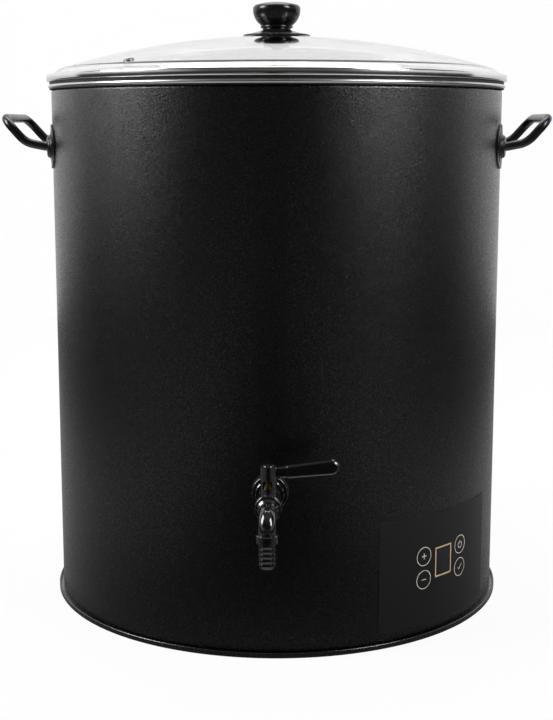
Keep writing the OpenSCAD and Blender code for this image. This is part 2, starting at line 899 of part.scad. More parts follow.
// Quarter bend of a round bar, from the tap's axis down to the spout's axis
module elbow_bend(r) {
    translate([0, -spout_out + elbow_r, elbow_z])
        rotate([0, -90, 0])
            rotate([0, 0, -90])
                rotate_extrude(angle = 90, $fn = small_fn)
                    translate([elbow_r, 0])
                        circle(r = r, $fn = small_fn);
}

module spout_collar() {
    r = spout_collar_d / 2;
    chamfer = 0.7;
    color("#1c1c1d")
        translate([0, -spout_out, barb_top_z])
            rotate_extrude($fn = small_fn)
                polygon([[barb_root_d / 2 + 0.02, 0], [r - chamfer, 0], [r, chamfer],
                    [r, spout_collar_h - chamfer], [r - chamfer, spout_collar_h],
                    [barb_root_d / 2 + 0.02, spout_collar_h]]);
}

module spout_barb() {
    root_r = barb_root_d / 2;
    color("#1a1a1b")
        translate([0, -spout_out, 0])
            rotate_extrude($fn = small_fn)
                polygon(concat(
                    [[flow_d / 2, spout_top_z], [root_r, spout_top_z], [root_r, barb_top_z]],
                    [for (i = [0:barbs_n - 1]) each [
                        [barb_d / 2, barb_top_z - i * barb_pitch - 0.3],
                        [barb_d / 2, barb_top_z - i * barb_pitch - 0.9],
                        [root_r, barb_top_z - (i + 1) * barb_pitch]]],
                    [[flow_d / 2, barb_low_z]]));
}

// The ball's passage lies along the lever, so it is shut in the pose at rest
module valve_ball() {
    slot_w = 2.4;
    slot_depth = 2.6;
    color("#c8cacc")
        at_stem()
            difference() {
                sphere(r = ball_r);
                translate([-ball_d, 0, 0])
                    rotate([0, 90, 0])
                        cylinder(d = flow_d, h = 2 * ball_d, $fn = small_fn);
                translate([-ball_d, -slot_w / 2, ball_r - slot_depth])
                    cube([2 * ball_d, slot_w, ball_d]);
            }
}

module valve_stem() {
    tang_w = 2.2;
    tang_low = ball_r - 2.4;
    square_w = stem_d * 0.66;
    shaft_low = ball_r + 0.3;
    color("#c0a060")
        at_stem() {
            intersection() {
                cylinder(d = stem_d, h = turret_top, $fn = small_fn);
                translate([-stem_d, -tang_w / 2, tang_low])
                    cube([2 * stem_d, tang_w, shaft_low + 0.5 - tang_low]);
            }
            translate([0, 0, shaft_low])
                cylinder(d = stem_d, h = hub_low - shaft_low, $fn = small_fn);
            translate([-square_w / 2, -square_w / 2, hub_low - 0.5])
                cube([square_w, square_w, hub_h - 4.5]);
        }
}

// Rounded bar from a station near the hub to the lever's tip
module paddle_end(x, z, h, t) {
    for (s = [-1, 1])
        translate([x, 0, z + s * (h - t) / 2])
            sphere(d = t, $fn = 20);
}

module tap_lever() {
    mid_z = hub_low + hub_h * 0.52;
    neck_x = hub_r + 9;
    tip_r = paddle_h / 2;
    tip_x = lever_len - tip_r;
    tip_z = mid_z + lever_rise;
    screw_recess = 2;
    square_w = stem_d * 0.66 + 0.1;
    color("#161617")
        at_stem()
            difference() {
                union() {
                    translate([0, 0, hub_low])
                        cylinder(r = hub_r, h = hub_h, $fn = small_fn);
                    rotate([0, 0, -90 + lever_turn / 2 - lug_w / 2])
                        rotate_extrude(angle = lug_w)
                            translate([recess_r + 0.3, notch_floor + 0.5])
                                square([hub_r - recess_r - 0.5, hub_low + 0.5 - notch_floor]);
                    hull() {
                        paddle_end(hub_r - 3, mid_z, hub_h - 2.4, paddle_t - 1.1);
                        paddle_end(neck_x + 2, mid_z + 0.9, paddle_h - 2.4, paddle_t - 1);
                    }
                    hull() {
                        paddle_end(neck_x, mid_z + 0.8, paddle_h - 1.6, paddle_t - 0.6);
                        for (layer = [[1.7, 0], [0.5, 1.7], [0, 3.4]])
                            translate([tip_x, 0, tip_z])
                                rotate([90, 0, 0])
                                    cylinder(r = tip_r - layer[0], h = paddle_t - layer[1],
                                        center = true, $fn = 40);
                    }
                }
                translate([-square_w / 2, -square_w / 2, hub_low - 2])
                    cube([square_w, square_w, hub_h + 4]);
                translate([0, 0, hub_low + hub_h - screw_recess])
                    cylinder(r = hub_r - 1.9, h = 2 * screw_recess, $fn = small_fn);
            }
}

module lever_screw() {
    head_z = hub_low + hub_h - 2;
    head_r = hub_r - 2.2;
    color("#202022")
        at_stem() {
            translate([0, 0, head_z])
                rotate_extrude($fn = small_fn)
                    polygon(concat([[0, 0], [head_r, 0]],
                        arc(head_r - 1.6, 1.4, 1.6, 0, 90, 5), [[0, 3]]));
            translate([0, 0, hub_low + hub_h - 5])
                cylinder(d = 2.4, h = 3.5, $fn = small_fn);
        }
}

// ---- control panel ----

// Local X runs outwards through the panel's middle, local Y along it to the right
module at_panel() {
    facing(panel_az)
        children();
}

module panel_film() {
    color("#121213")
        difference() {
            curved_plate(panel_az, shell_r, film_r, panel_a, panel_z, panel_h);
            at_panel()
                translate([shell_r - 10, -display_w / 2, display_z - display_h / 2])
                    cube([20, display_w, display_h]);
        }
}

// Tinted window, let into the film and the front of the housing
module display_window() {
    color("#050506")
        intersection() {
            curved_plate(panel_az, shell_r - 1, film_r, panel_a, panel_z, panel_h);
            at_panel()
                translate([shell_r - 10, -display_w / 2, display_z - display_h / 2])
                    cube([20, display_w, display_h]);
        }
}

// Places of the four studs that hold the housing to the shell
module housing_stud_places() {
    for (side = [-1, 1])
        for (z = [housing_z + 8, housing_z + housing_h - 8])
            facing(panel_az + side * (window_a / 2 + 1.35))
                translate([0, 0, z])
                    children();
}

// Open-backed housing behind the film, curved like the shell
module control_housing() {
    inner_a = housing_a - 2 * housing_wall / shell_r * 180 / PI;
    ledge_a = 7 / shell_r * 180 / PI;
    color("#303134")
        difference() {
            union() {
                curved_plate(panel_az, housing_face_r, shell_in_r, housing_a, housing_z, housing_h);
                curved_plate(panel_az, housing_face_r, shell_r - film_glue, window_a - 0.2,
                    window_z + 0.3, window_h - 0.6);
                difference() {
                    curved_plate(panel_az, housing_back_r, shell_in_r, housing_a - 2 * ledge_a,
                        housing_z, housing_h);
                    curved_plate(panel_az, housing_back_r - cut, housing_face_r,
                        inner_a - 2 * ledge_a, housing_z + housing_wall, housing_h - 2 * housing_wall);
                }
            }
            intersection() {
                curved_plate(panel_az, shell_r - 1.05, shell_r + 2, panel_a, panel_z, panel_h);
                at_panel()
                    translate([shell_r - 10, -display_w / 2 - 0.05, display_z - display_h / 2 - 0.05])
                        cube([20, display_w + 0.1, display_h + 0.1]);
            }
            at_panel()
                translate([shell_r - 10, -display_w / 2 + 1.5, display_z - display_h / 2 + 1.5])
                    cube([20, display_w - 3, display_h - 3]);
            housing_stud_places()
                translate([housing_face_r - cut, 0, 0])
                    along_right()
                        cylinder(d = housing_stud_d + 2 * pass_gap, h = 8, $fn = small_fn);
        }
}

module control_board() {
    color("#1e5b3a")
        at_panel()
            translate([board_out - board_t, -board_w / 2, board_low_z])
                cube([board_t, board_w, board_h]);
}

module display_module() {
    color("#dddddd")
        at_panel()
            translate([board_out, -display_w / 2 - 1, display_z - display_h / 2 - 1])
                cube([module_t, display_w + 2, display_h + 2]);
}

// Contact springs that carry each touch key's field from the board to the front
module key_springs() {
    color("#b9bcc0")
        at_panel()
            for (y = [-key_x, key_x])
                for (z = [-key_pitch / 2, key_pitch / 2])
                    translate([board_out, y, key_mid_z + z])
                        along_right()
                            tube(key_d * 0.28, key_d * 0.28 - 0.6,
                                wall_out(housing_face_r, abs(y) + key_d * 0.28) - board_out, $fn = small_fn);
}

// Studs of the shell and the nuts on them, in one group
module housing_nuts() {
    color("#9a9da0")
        housing_stud_places()
            translate([housing_face_r - 6, 0, 0])
                along_right() {
                    cylinder(d = housing_stud_d, h = 6 + housing_wall, $fn = small_fn);
                    translate([0, 0, 2.6])
                        cylinder(r = hex_r(7), h = 3.4, $fn = hex_fn);
                }
}

// ---- electrics under the pot ----

module board_post_places() {
    for (x = [-1, 1])
        for (y = [-1, 1])
            translate([x * (power_board_w / 2 - post_inset),
                power_board_y + y * (power_board_d / 2 - post_inset), 0])
                children();
}

module board_posts() {
    color("#b9bcc0")
        board_post_places() {
            translate([0, 0, plate_top_z])
                cylinder(r = hex_r(6), h = post_h, $fn = hex_fn);
            translate([0, 0, plate_low_z])
                cylinder(d = 3, h = post_h + bottom_plate_t + 4, $fn = small_fn);
        }
}

module power_board() {
    color("#1e5b3a")
        difference() {
            translate([-power_board_w / 2, power_board_y - power_board_d / 2, plate_top_z + post_h])
                cube([power_board_w, power_board_d, board_t]);
            board_post_places()
                translate([0, 0, plate_top_z + post_h - cut])
                    cylinder(d = 3.2, h = board_t + 2 * cut, $fn = small_fn);
        }
}

module power_relay() {
    color("#2455a0")
        translate([-36, power_board_y - 18, plate_top_z + post_h + board_t])
            cube([24, 30, 22]);
}

module terminal_block() {
    color("#e5e4dc")
        translate([8, power_board_y + 8, plate_top_z + post_h + board_t])
            difference() {
                cube([42, 14, 15]);
                for (i = [0:4])
                    translate([5 + i * 8, 7, 8])
                        cylinder(d = 5, h = 10, $fn = small_fn);
            }
}

// Local Z runs outwards to the rear at the height of the gland
module along_gland() {
    translate([0, 0, gland_z])
        rotate([-90, 0, 0])
            children();
}

module cord_gland() {
    color("#1d1d1f")
        along_gland()
            difference() {
                union() {
                    translate([0, 0, shell_in_r - gland_inner])
                        cylinder(d = gland_d, h = gland_inner + 14, $fn = small_fn);
                    translate([0, 0, shell_r])
                        cylinder(r = hex_r(gland_hex), h = gland_flange_t, $fn = hex_fn);
                }
                translate([0, 0, shell_in_r - gland_inner - cut])
                    cylinder(d = gland_bore_d + 1.2, h = 60, $fn = small_fn);
            }
}

module gland_cap() {
    start = shell_r + gland_flange_t;
    color("#1d1d1f")
        along_gland()
            rotate_extrude($fn = small_fn)
                polygon(concat(
                    [[gland_d / 2, start], [gland_hex / 2, start]],
                    arc(gland_hex / 2 - 5, start + gland_cap_h - 5, 5, 0, 90, 6),
                    [[gland_bore_d / 2, start + gland_cap_h],
                    [gland_bore_d / 2, start + gland_cap_h - 5.6],
                    [gland_d / 2, start + gland_cap_h - 5.6]]));
}

module gland_nut() {
    t = 5;
    color("#1d1d1f")
        along_gland()
            difference() {
                intersection() {
                    translate([0, 0, shell_in_r - t - 1])
                        cylinder(r = hex_r(gland_hex), h = t + 1, $fn = hex_fn);
                    translate([0, 100, 0])
                        rotate([90, 0, 0])
                            cylinder(r = shell_in_r, h = 200, $fn = wall_fn);
                }
                translate([0, 0, shell_in_r - 20])
                    cylinder(d = gland_d, h = 40, $fn = small_fn);
            }
}

module heater_plate() {
    color("#a9acb0")
        difference() {
            translate([0, 0, plate_z])
                cylinder(d = heater_d, h = heater_t);
            element_ring(element_d / 2 + 0.05);
            translate([probe_x, 0, plate_z - cut])
                cylinder(d = probe_d + 0.2, h = heater_t * 0.6 + cut, $fn = small_fn);
        }
}

// Ring of round bar, half sunk into the heater plate
module element_ring(r) {
    translate([0, 0, plate_z])
        rotate([0, 0, 105])
            rotate_extrude(angle = 330)
                translate([element_ring_r, 0])
                    circle(r = r, $fn = small_fn);
}

module heating_element() {
    color("#6c5a4c")
        element_ring(element_d / 2);
}

module side_heater() {
    gap_a = 10;
    heater_out_r = pot_out_r + side_heater_t;
    color("#b36a3c")
        union() {
            facing(180 + gap_a / 2)
                rotate_extrude(angle = 360 - gap_a)
                    translate([pot_out_r, side_heater_z])
                        square([side_heater_t, side_heater_h]);
            for (side = [-1, 1])
                facing(180 + side * (gap_a / 2 + 0.4))
                    translate([heater_out_r - 0.3, -1, side_heater_z])
                        cube([3, 2, side_heater_h]);
        }
}

module side_insulation() {
    in_r = pot_out_r + side_heater_t + 3.2;
    color("#d8cfae")
        translate([0, 0, blanket_z])
            tube(shell_in_r - 0.8, in_r, blanket_h);
}

module bottom_insulation() {
    color("#d8cfae")
        difference() {
            translate([0, 0, felt_z])
                cylinder(r = felt_r, h = felt_t);
            translate([0, 0, felt_z - cut])
                cylinder(r = probe_x + 12, h = felt_t + 2 * cut);
        }
}

module stud_places() {
    for (i = [0:3])
        rotate([0, 0, 45 + i * 90])
            translate([stud_ring_r, 0, 0])
                children();
}

// Dished pan that keeps the heat off the electrics
module heat_shield() {
    color("#b4b7ba")
        difference() {
            rotate_extrude()
                polygon([[0, shield_z], [shield_r, shield_z], [shield_r + shield_t, shield_z + shield_t],
                    [shield_r + shield_t, shield_z + shield_rim_h], [shield_r, shield_z + shield_rim_h],
                    [shield_r, shield_z + shield_t], [0, shield_z + shield_t]]);
            stud_places()
                translate([0, 0, shield_z - cut])
                    cylinder(d = stud_d + 2 * pass_gap, h = shield_t + 2 * cut, $fn = small_fn);
        }
}

module shield_studs() {
    low = shield_z - 7;
    color("#9a9da0")
        stud_places() {
            translate([0, 0, low])
                cylinder(d = stud_d, h = pot_floor_z - pot_wall - low, $fn = small_fn);
            translate([0, 0, shield_z + shield_t])
                cylinder(d = stud_d + 5, h = pot_floor_z - pot_wall - shield_z - shield_t, $fn = small_fn);
        }
}

module shield_nuts() {
    t = 4;
    color("#9a9da0")
        stud_places()
            translate([0, 0, shield_z - t])
                difference() {
                    cylinder(r = hex_r(8), h = t, $fn = hex_fn);
                    translate([0, 0, -cut])
                        cylinder(d = stud_d, h = t + 2 * cut, $fn = small_fn);
                }
}

module thermal_cutout() {
    color("#24272c")
        translate([0, 0, plate_z - cutout_h]) {
            cylinder(d = cutout_d, h = cutout_h, $fn = small_fn);
            for (y = [-4, 4])
                translate([-3, y - 0.4, -6])
                    cube([6, 0.8, 7]);
        }
}

module temperature_probe() {
    depth = heater_t * 0.6;
    color("#c3c6c9")
        translate([probe_x, 0, plate_z - 10])
            cylinder(d = probe_d, h = 10 + depth, $fn = small_fn);
}

// ---- lid ----

// Outline of the space under the dome's skin, drawn inset by t
function dome_line(t) = concat(
    arc(0, dome_mid_z, dome_r - t, 90, 90 - edge_lift_a, 24),
    arc(edge_mid_r, edge_mid_z, dome_edge_r - t, 90 - edge_lift_a,
        asin((glass_low_z - edge_mid_z) / (dome_edge_r - t)), 12));

module lid_glass() {
    inner = dome_line(glass_t);
    color("#dfe8ea", 0.45)
        difference() {
            rotate_extrude()
                polygon(concat(dome_line(0), [for (i = [len(inner) - 1:-1:0]) inner[i]]));
            translate([0, 0, glass_under_z - cut])
                cylinder(d = glass_hole_d, h = glass_t + 2 * cut, $fn = small_fn);
            at_vent()
                translate([0, 0, -glass_t - cut])
                    cylinder(r = vent_d / 2 + 1, h = glass_t + 2 * cut, $fn = small_fn);
        }
}

// Local Z stands square on the dome at the steam vent
module at_vent() {
    facing(vent_az)
        translate([0, 0, dome_mid_z])
            rotate([0, vent_tilt, 0])
                translate([0, 0, dome_r])
                    children();
}

module steam_vent() {
    rim = 2.6;
    r = vent_d / 2;
    color("#a8abad")
        at_vent()
            rotate_extrude($fn = small_fn)
                polygon([[r, -glass_t - 0.6], [r + rim, -glass_t - 0.6], [r + rim, -glass_t - 0.05],
                    [r + 0.95, -glass_t - 0.05], [r + 0.95, 0.05], [r + rim, 0.05], [r + rim - 0.3, 0.8],
                    [r, 0.8]]);
}

// Rolled steel band round the glass, with a skirt that centres the lid in the pot
module lid_band() {
    top_z = lid_z + band_h;
    lip_in_r = edge_mid_r + sqrt(pow(dome_edge_r, 2) - pow(top_z - band_wall - edge_mid_z, 2))
        + glass_gap;
    in_bend = band_bend_r - band_wall;
    corner_r = glass_gap * 0.7;
    color("#cfd1d2")
        rotate_extrude()
            polygon(concat(
                [[skirt_r - band_wall, lid_z - skirt_depth], [skirt_r, lid_z - skirt_depth]],
                [[skirt_r, lid_z]],
                arc(band_r - band_bend_r, lid_z + band_bend_r, band_bend_r, -90, 0, 5),
                arc(band_r - band_bend_r, top_z - band_bend_r, band_bend_r, 0, 90, 5),
                [[lip_in_r, top_z], [lip_in_r, top_z - band_wall]],
                arc(band_r - band_bend_r, top_z - band_bend_r, in_bend, 90, 0, 5),
                arc(band_r - band_wall - corner_r, lid_z + band_wall + corner_r, corner_r, 0, -90, 5),
                [[skirt_r - band_wall, lid_z + band_wall]]));
}

module lid_gasket() {
    color("#0e0e0f")
        translate([0, 0, rim_z + lid_rest_gap])
            tube(bead_mid_r + bead_r * 0.3, pot_r + 4, lid_gap - lid_rest_gap);
}

module knob_seat() {
    color("#101011")
        difference() {
            rotate_extrude()
                polygon(concat(
                    arc(0, dome_mid_z, dome_r, 90, 90 - asin(knob_seat_d / 2 / dome_r), 4),
                    [[knob_seat_d / 2, seat_top_z - 0.3], [knob_seat_d / 2 - 0.3, seat_top_z],
                    [0, seat_top_z]]));
            translate([0, 0, dome_top_z - 2])
                cylinder(d = knob_screw_d + 2 * pass_gap, h = knob_seat_t + 4, $fn = small_fn);
        }
}

// Turned knob: finger guard, waisted neck with a bead, and a bowl-shaped domed head
module lid_knob() {
    guard_r = guard_d / 2;
    neck_r = knob_neck_d / 2;
    head_r = knob_head_d / 2;
    wide_z = knob_h - 6.9;
    bead_z = wide_z - 15.9;
    bowl_r = 18;
    edge_r = 4;
    crown_a = 15.9;
    crown_r = (head_r - edge_r + edge_r * sin(crown_a)) / sin(crown_a);
    crown_low_z = knob_h - crown_r * (1 - cos(crown_a));
    edge_z = crown_low_z - edge_r * cos(crown_a);
    color("#0c0c0d")
        translate([0, 0, seat_top_z])
            difference() {
                rotate_extrude()
                    polygon(concat(
                        [[0, 0]],
                        arc(guard_r - 0.5, 0.5, 0.5, -90, 80, 5),
                        curve([guard_r - 1.2, 1.15], [guard_r - 9.8, 2.6], [neck_r + 1.7, 4.9], 8),
                        arc(neck_r + 2.4, 6.9, 2.4, 235, 180, 4),
                        arc(neck_r + 0.7, bead_z, 1.4, -60, 65, 7),
                        arc(head_r - bowl_r, wide_z, bowl_r, -52, 0, 12),
                        arc(head_r - edge_r, edge_z, edge_r, 0, 90 - crown_a, 7),
                        arc(0, knob_h - crown_r, crown_r, 90 - crown_a + 2, 90, 7)));
                translate([0, 0, -cut])
                    cylinder(d = knob_screw_d, h = knob_screw_in + cut, $fn = small_fn);
            }
}

module knob_washers() {
    color("#303033")
        difference() {
            translate([0, 0, glass_under_z - 2 * washer_t])
                cylinder(d = 24, h = 2 * washer_t - washer_dip);
            translate([0, 0, glass_under_z - 2 * washer_t - cut])
                cylinder(d = knob_screw_d + 2 * pass_gap, h = 2 * washer_t + 2 * cut, $fn = small_fn);
        }
}

module knob_screw() {
    head_t = 3;
    head_low = glass_under_z - 2 * washer_t - head_t;
    color("#c6c8ca")
        translate([0, 0, head_low]) {
            cylinder(d1 = 9, d2 = 12, h = head_t, $fn = small_fn);
            cylinder(d = knob_screw_d, h = seat_top_z + knob_screw_in - 1 - head_low, $fn = small_fn);
        }
}

outer_shell();
inner_pot();
pot_floor();
rim_seal();
base_ring();
bottom_plate();
base_screws();
handle_left();
handle_right();
handle_roses_left();
handle_roses_right();
handle_saddles();
handle_nuts();
tap_body();
tap_gasket_outer();
tap_gasket_inner();
tap_spacer();
tap_back_nut();
ball_seats();
packing_ring();
packing_nut();
spout_elbow();
spout_collar();
spout_barb();
valve_ball();
valve_stem();
tap_lever();
lever_screw();
panel_film();
display_window();
control_housing();
control_board();
display_module();
key_springs();
housing_nuts();
power_board();
board_posts();
power_relay();
terminal_block();
cord_gland();
gland_cap();
gland_nut();
heater_plate();
heating_element();
side_heater();
side_insulation();
bottom_insulation();
heat_shield();
shield_studs();
shield_nuts();
thermal_cutout();
temperature_probe();
lid_glass();
lid_band();
lid_gasket();
lid_knob();
knob_seat();
knob_screw();
knob_washers();
steam_vent();
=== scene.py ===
"""Candle wax melter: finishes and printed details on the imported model, in metres.
The pot's axis is Z, the table is z = 0 and the tap faces -Y."""
import math

import bmesh
import bpy
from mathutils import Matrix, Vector


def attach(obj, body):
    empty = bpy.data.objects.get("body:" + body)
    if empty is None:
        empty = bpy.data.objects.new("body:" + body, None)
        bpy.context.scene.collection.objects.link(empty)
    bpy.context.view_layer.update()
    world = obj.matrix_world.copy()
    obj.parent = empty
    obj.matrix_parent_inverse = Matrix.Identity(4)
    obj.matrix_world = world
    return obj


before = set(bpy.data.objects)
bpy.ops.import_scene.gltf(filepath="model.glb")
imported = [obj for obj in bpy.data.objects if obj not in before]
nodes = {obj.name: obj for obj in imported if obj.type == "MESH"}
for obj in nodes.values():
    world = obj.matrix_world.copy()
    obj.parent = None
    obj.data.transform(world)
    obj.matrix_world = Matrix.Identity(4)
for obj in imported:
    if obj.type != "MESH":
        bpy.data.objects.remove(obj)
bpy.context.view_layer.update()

# ---- camera ----
# Placed by fitting the outlines of the rim, the shell and the base ring, and points on the
# handles, panel, tap and knob, so the distance, height and pitch are real ones. The
# photograph is a crop, 553 x 720, and its optical axis lies above its middle.
camera_distance = 1.2609
camera_height = 0.4436
camera_turn = math.radians(1.497)
camera_pitch = math.radians(9.07)
focal_pixels = 1313.3
frame_rows = 720
axis_right_pixels = 0.2
axis_up_pixels = 26.2
sensor_height = 36.0

camera_data = bpy.data.cameras.new("photo_camera")
camera_data.sensor_fit = "VERTICAL"
camera_data.sensor_height = sensor_height
camera_data.lens = focal_pixels * sensor_height / frame_rows
camera_data.shift_x = -axis_right_pixels / frame_rows
camera_data.shift_y = -axis_up_pixels / frame_rows
camera = bpy.data.objects.new("photo_camera", camera_data)
camera.location = (
    math.sin(camera_turn) * camera_distance,
    -math.cos(camera_turn) * camera_distance,
    camera_height,
)
camera.rotation_euler = (math.pi / 2 - camera_pitch, 0, camera_turn)
bpy.context.collection.objects.link(camera)
bpy.context.scene.camera = camera

# ---- studio ----
# White paper floor and backdrop, a tall soft box at the left, a narrower one at the right
# and one overhead, all at a plain level. Black and metal surfaces mirror this room at levels
# of its own: dim in front, brighter at the sides, overhead and straight below.
bpy.context.scene.view_settings.view_transform = "Standard"
floor_half = 5.0
backdrop_y = 1.7
backdrop_height = 5.0
paper_glow = 0.94
near_floor = 0.01
far_floor = 0.3
steep_floor = 0.6
low_backdrop = 0.65
high_backdrop = 1.0
room_grey = 0.016
front_glow = 0.1
side_glow = 0.75
ceiling_glow = 0.22
lamp_aim_height = 0.3


def new_material(name):
    """A material, its node tree and its Principled shader."""
    material = bpy.data.materials.new(name)
    material.use_nodes = True
    tree = material.node_tree
    return material, tree, tree.nodes["Principled BSDF"]


def math_node(tree, operation, *values):
    """A Math node; each value is a number or a socket."""
    node = tree.nodes.new("ShaderNodeMath")
    node.operation = operation
    for slot, value in enumerate(values):
        if isinstance(value, (int, float)):
            node.inputs[slot].default_value = value
        else:
            tree.links.new(value, node.inputs[slot])
    return node.outputs[0]


def ramp(tree, value, low, high, from_value=0.0, to_value=1.0, smooth=False):
    """A socket's value, mapped from low..high to from_value..to_value and clamped."""
    node = tree.nodes.new("ShaderNodeMapRange")
    node.interpolation_type = "SMOOTHSTEP" if smooth else "LINEAR"
    node.inputs["From Min"].default_value = low
    node.inputs["From Max"].default_value = high
    node.inputs["To Min"].default_value = from_value
    node.inputs["To Max"].default_value = to_value
    tree.links.new(value, node.inputs["Value"])
    return node.outputs["Result"]


def object_place(tree):
    """Object coordinates, which are places in metres because every object sits at the origin."""
    return tree.nodes.new("ShaderNodeTexCoord").outputs["Object"]


def axes_of(tree, vector):
    """The X, Y and Z of a vector socket."""
    parts = tree.nodes.new("ShaderNodeSeparateXYZ")
    tree.links.new(vector, parts.inputs[0])
    return parts.outputs


def mixed_shader(tree, mask, first, second):
    """A shader node that runs from the first to the second with a mask."""
    mix = tree.nodes.new("ShaderNodeMixShader")
    for slot, socket in enumerate((mask, first.outputs[0], second.outputs[0])):
        tree.links.new(socket, mix.inputs[slot])
    return mix


def paper_material(name, in_metal):
    """White paper that keeps the shadow; in_metal gives what black and metal surfaces see of it."""
    material, tree, shader = new_material(name)
    shader.inputs["Base Color"].default_value = (0.86, 0.86, 0.86, 1)
    shader.inputs["Roughness"].default_value = 0.9
    rays = tree.nodes.new("ShaderNodeLightPath").outputs
    white = tree.nodes.new("ShaderNodeEmission")
    seen = math_node(tree, "MAXIMUM", rays["Is Camera Ray"], rays["Is Transmission Ray"])
    direct = mixed_shader(tree, math_node(tree, "MULTIPLY", seen, paper_glow), shader, white)
    mirrored = tree.nodes.new("ShaderNodeEmission")
    tree.links.new(in_metal(tree), mirrored.inputs["Strength"])
    in_gloss = math_node(tree, "GREATER_THAN", rays["Is Glossy Ray"], rays["Is Transmission Ray"])
    paper = mixed_shader(tree, in_gloss, direct, mirrored)
    tree.links.new(paper.outputs[0], tree.nodes["Material Output"].inputs["Surface"])
    return material


def floor_in_metal(tree):
    """Dim in front of the object, brighter beside, behind and straight below, dimmer far away."""
    place = axes_of(tree, object_place(tree))
    aside = math_node(tree, "ABSOLUTE", place["X"])
    sides = ramp(tree, aside, 0.12, 0.6, smooth=True)
    back = ramp(tree, place["Y"], -0.5, 0.3, smooth=True)
    reach = math_node(tree, "MAXIMUM", sides, back)
    away = ramp(tree, aside, 0.45, 1.1, 1.0, 0.1, smooth=True)
    level = ramp(tree, math_node(tree, "MULTIPLY", reach, away), 0.0, 1.0, near_floor, far_floor)
    slant = tree.nodes.new("ShaderNodeLayerWeight").outputs["Facing"]
    steep = ramp(tree, slant, 0.15, 0.38, steep_floor, 0.0, smooth=True)
    return math_node(tree, "ADD", level, steep)


def backdrop_in_metal(tree):
    """Brighter above the rim's height, where the lid mirrors it."""
    height = axes_of(tree, object_place(tree))["Z"]
    return ramp(tree, height, 0.45, 0.7, low_backdrop, high_backdrop, smooth=True)


def stage_sheet(name, corners, material):
    """A flat sheet of paper."""
    mesh = bpy.data.meshes.new(name)
    mesh.from_pydata(corners, [], [(0, 1, 2, 3)])
    mesh.materials.append(material)
    sheet = bpy.data.objects.new(name, mesh)
    bpy.context.collection.objects.link(sheet)


stage_sheet(
    "studio_floor",
    [
        (-floor_half, -floor_half, 0),
        (floor_half, -floor_half, 0),
        (floor_half, backdrop_y, 0),
        (-floor_half, backdrop_y, 0),
    ],
    paper_material("studio_floor_paper", floor_in_metal),
)
stage_sheet(
    "studio_backdrop",
    [
        (-floor_half, backdrop_y, 0),
        (floor_half, backdrop_y, 0),
        (floor_half, backdrop_y, backdrop_height),
        (-floor_half, backdrop_y, backdrop_height),
    ],
    paper_material("studio_backdrop_paper", backdrop_in_metal),
)

# The room is dim. In reflections its ceiling and a low strip round its walls glow, the strip
# most at the two sides.
world = bpy.data.worlds.new("studio_room")
world.use_nodes = True
room = world.node_tree
background = room.nodes["Background"].inputs
background["Color"].default_value = (1, 1, 1, 1)
towards = axes_of(room, room.nodes.new("ShaderNodeTexCoord").outputs["Generated"])
ceiling = ramp(room, towards["Z"], 0.5, 0.95, 0.0, ceiling_glow, smooth=True)
sideways = math_node(room, "ABSOLUTE", towards["X"])
wall = ramp(room, sideways, 0.5, 0.95, front_glow, side_glow, smooth=True)
above = ramp(room, towards["Z"], 0.02, 0.09, smooth=True)
below = ramp(room, towards["Z"], 0.12, 0.35, 1.0, 0.0, smooth=True)
strip = math_node(room, "MULTIPLY", wall, math_node(room, "MULTIPLY", above, below))
glossy_ray = room.nodes.new("ShaderNodeLightPath").outputs["Is Glossy Ray"]
in_gloss = math_node(room, "MULTIPLY", math_node(room, "ADD", ceiling, strip), glossy_ray)
room.links.new(math_node(room, "ADD", in_gloss, room_grey), background["Strength"])
bpy.context.scene.world = world


def soft_box(name, azimuth, distance, low, high, width, watts):
    """A soft box between two heights, aimed at the pot; azimuth runs from the front rightwards."""
    light = bpy.data.lights.new(name, "AREA")
    light.shape = "RECTANGLE"
    light.size = width
    light.size_y = high - low
    light.energy = watts
    lamp = bpy.data.objects.new(name, light)
    turn = math.radians(azimuth)
    lamp.location = (math.sin(turn) * distance, -math.cos(turn) * distance, (low + high) / 2)
    aim = Vector(lamp.location) - Vector((0, 0, lamp_aim_height))
    lamp.rotation_euler = aim.to_track_quat("Z", "Y").to_euler()
    bpy.context.collection.objects.link(lamp)


soft_box("left_soft_box", azimuth=-76, distance=2.0, low=0.8, high=2.1, width=0.9, watts=46)
soft_box("right_soft_box", azimuth=55, distance=2.0, low=0.85, high=2.0, width=0.65, watts=30)
soft_box("top_soft_box", azimuth=180, distance=0.5, low=1.9, high=2.7, width=1.8, watts=26)

# ---- shell and base ring ----
# Rolled steel sheet, sprayed with a fine-textured black powder coat. The base ring is a
# pressed ring of the same steel that the shell stands in.
FLOAT = "NodeSocketFloat"
VECTOR = "NodeSocketVector"
GREY_DUST = (0.1, 0.1, 0.1)
smooth_below = 35


def effect_group(name, inputs, outputs):
    """An empty effect with its inputs (label, kind, default) and its outputs (label, kind)."""
    group = bpy.data.node_groups.new(name, "ShaderNodeTree")
    for label, kind, default in inputs:
        socket = group.interface.new_socket(label, in_out="INPUT", socket_type=kind)
        if default is not None:
            socket.default_value = default
    for label, kind in outputs:
        group.interface.new_socket(label, in_out="OUTPUT", socket_type=kind)
    return group, group.nodes.new("NodeGroupInput"), group.nodes.new("NodeGroupOutput")


def noise(tree, vector, scale, detail=2.0, rough=0.5):
    """A Noise texture of a vector socket; scale is a number or a socket."""
    node = tree.nodes.new("ShaderNodeTexNoise")
    node.inputs["Detail"].default_value = detail
    node.inputs["Roughness"].default_value = rough
    tree.links.new(vector, node.inputs["Vector"])
    if isinstance(scale, (int, float)):
        node.inputs["Scale"].default_value = scale
    else:
        tree.links.new(scale, node.inputs["Scale"])
    return node.outputs["Fac"]


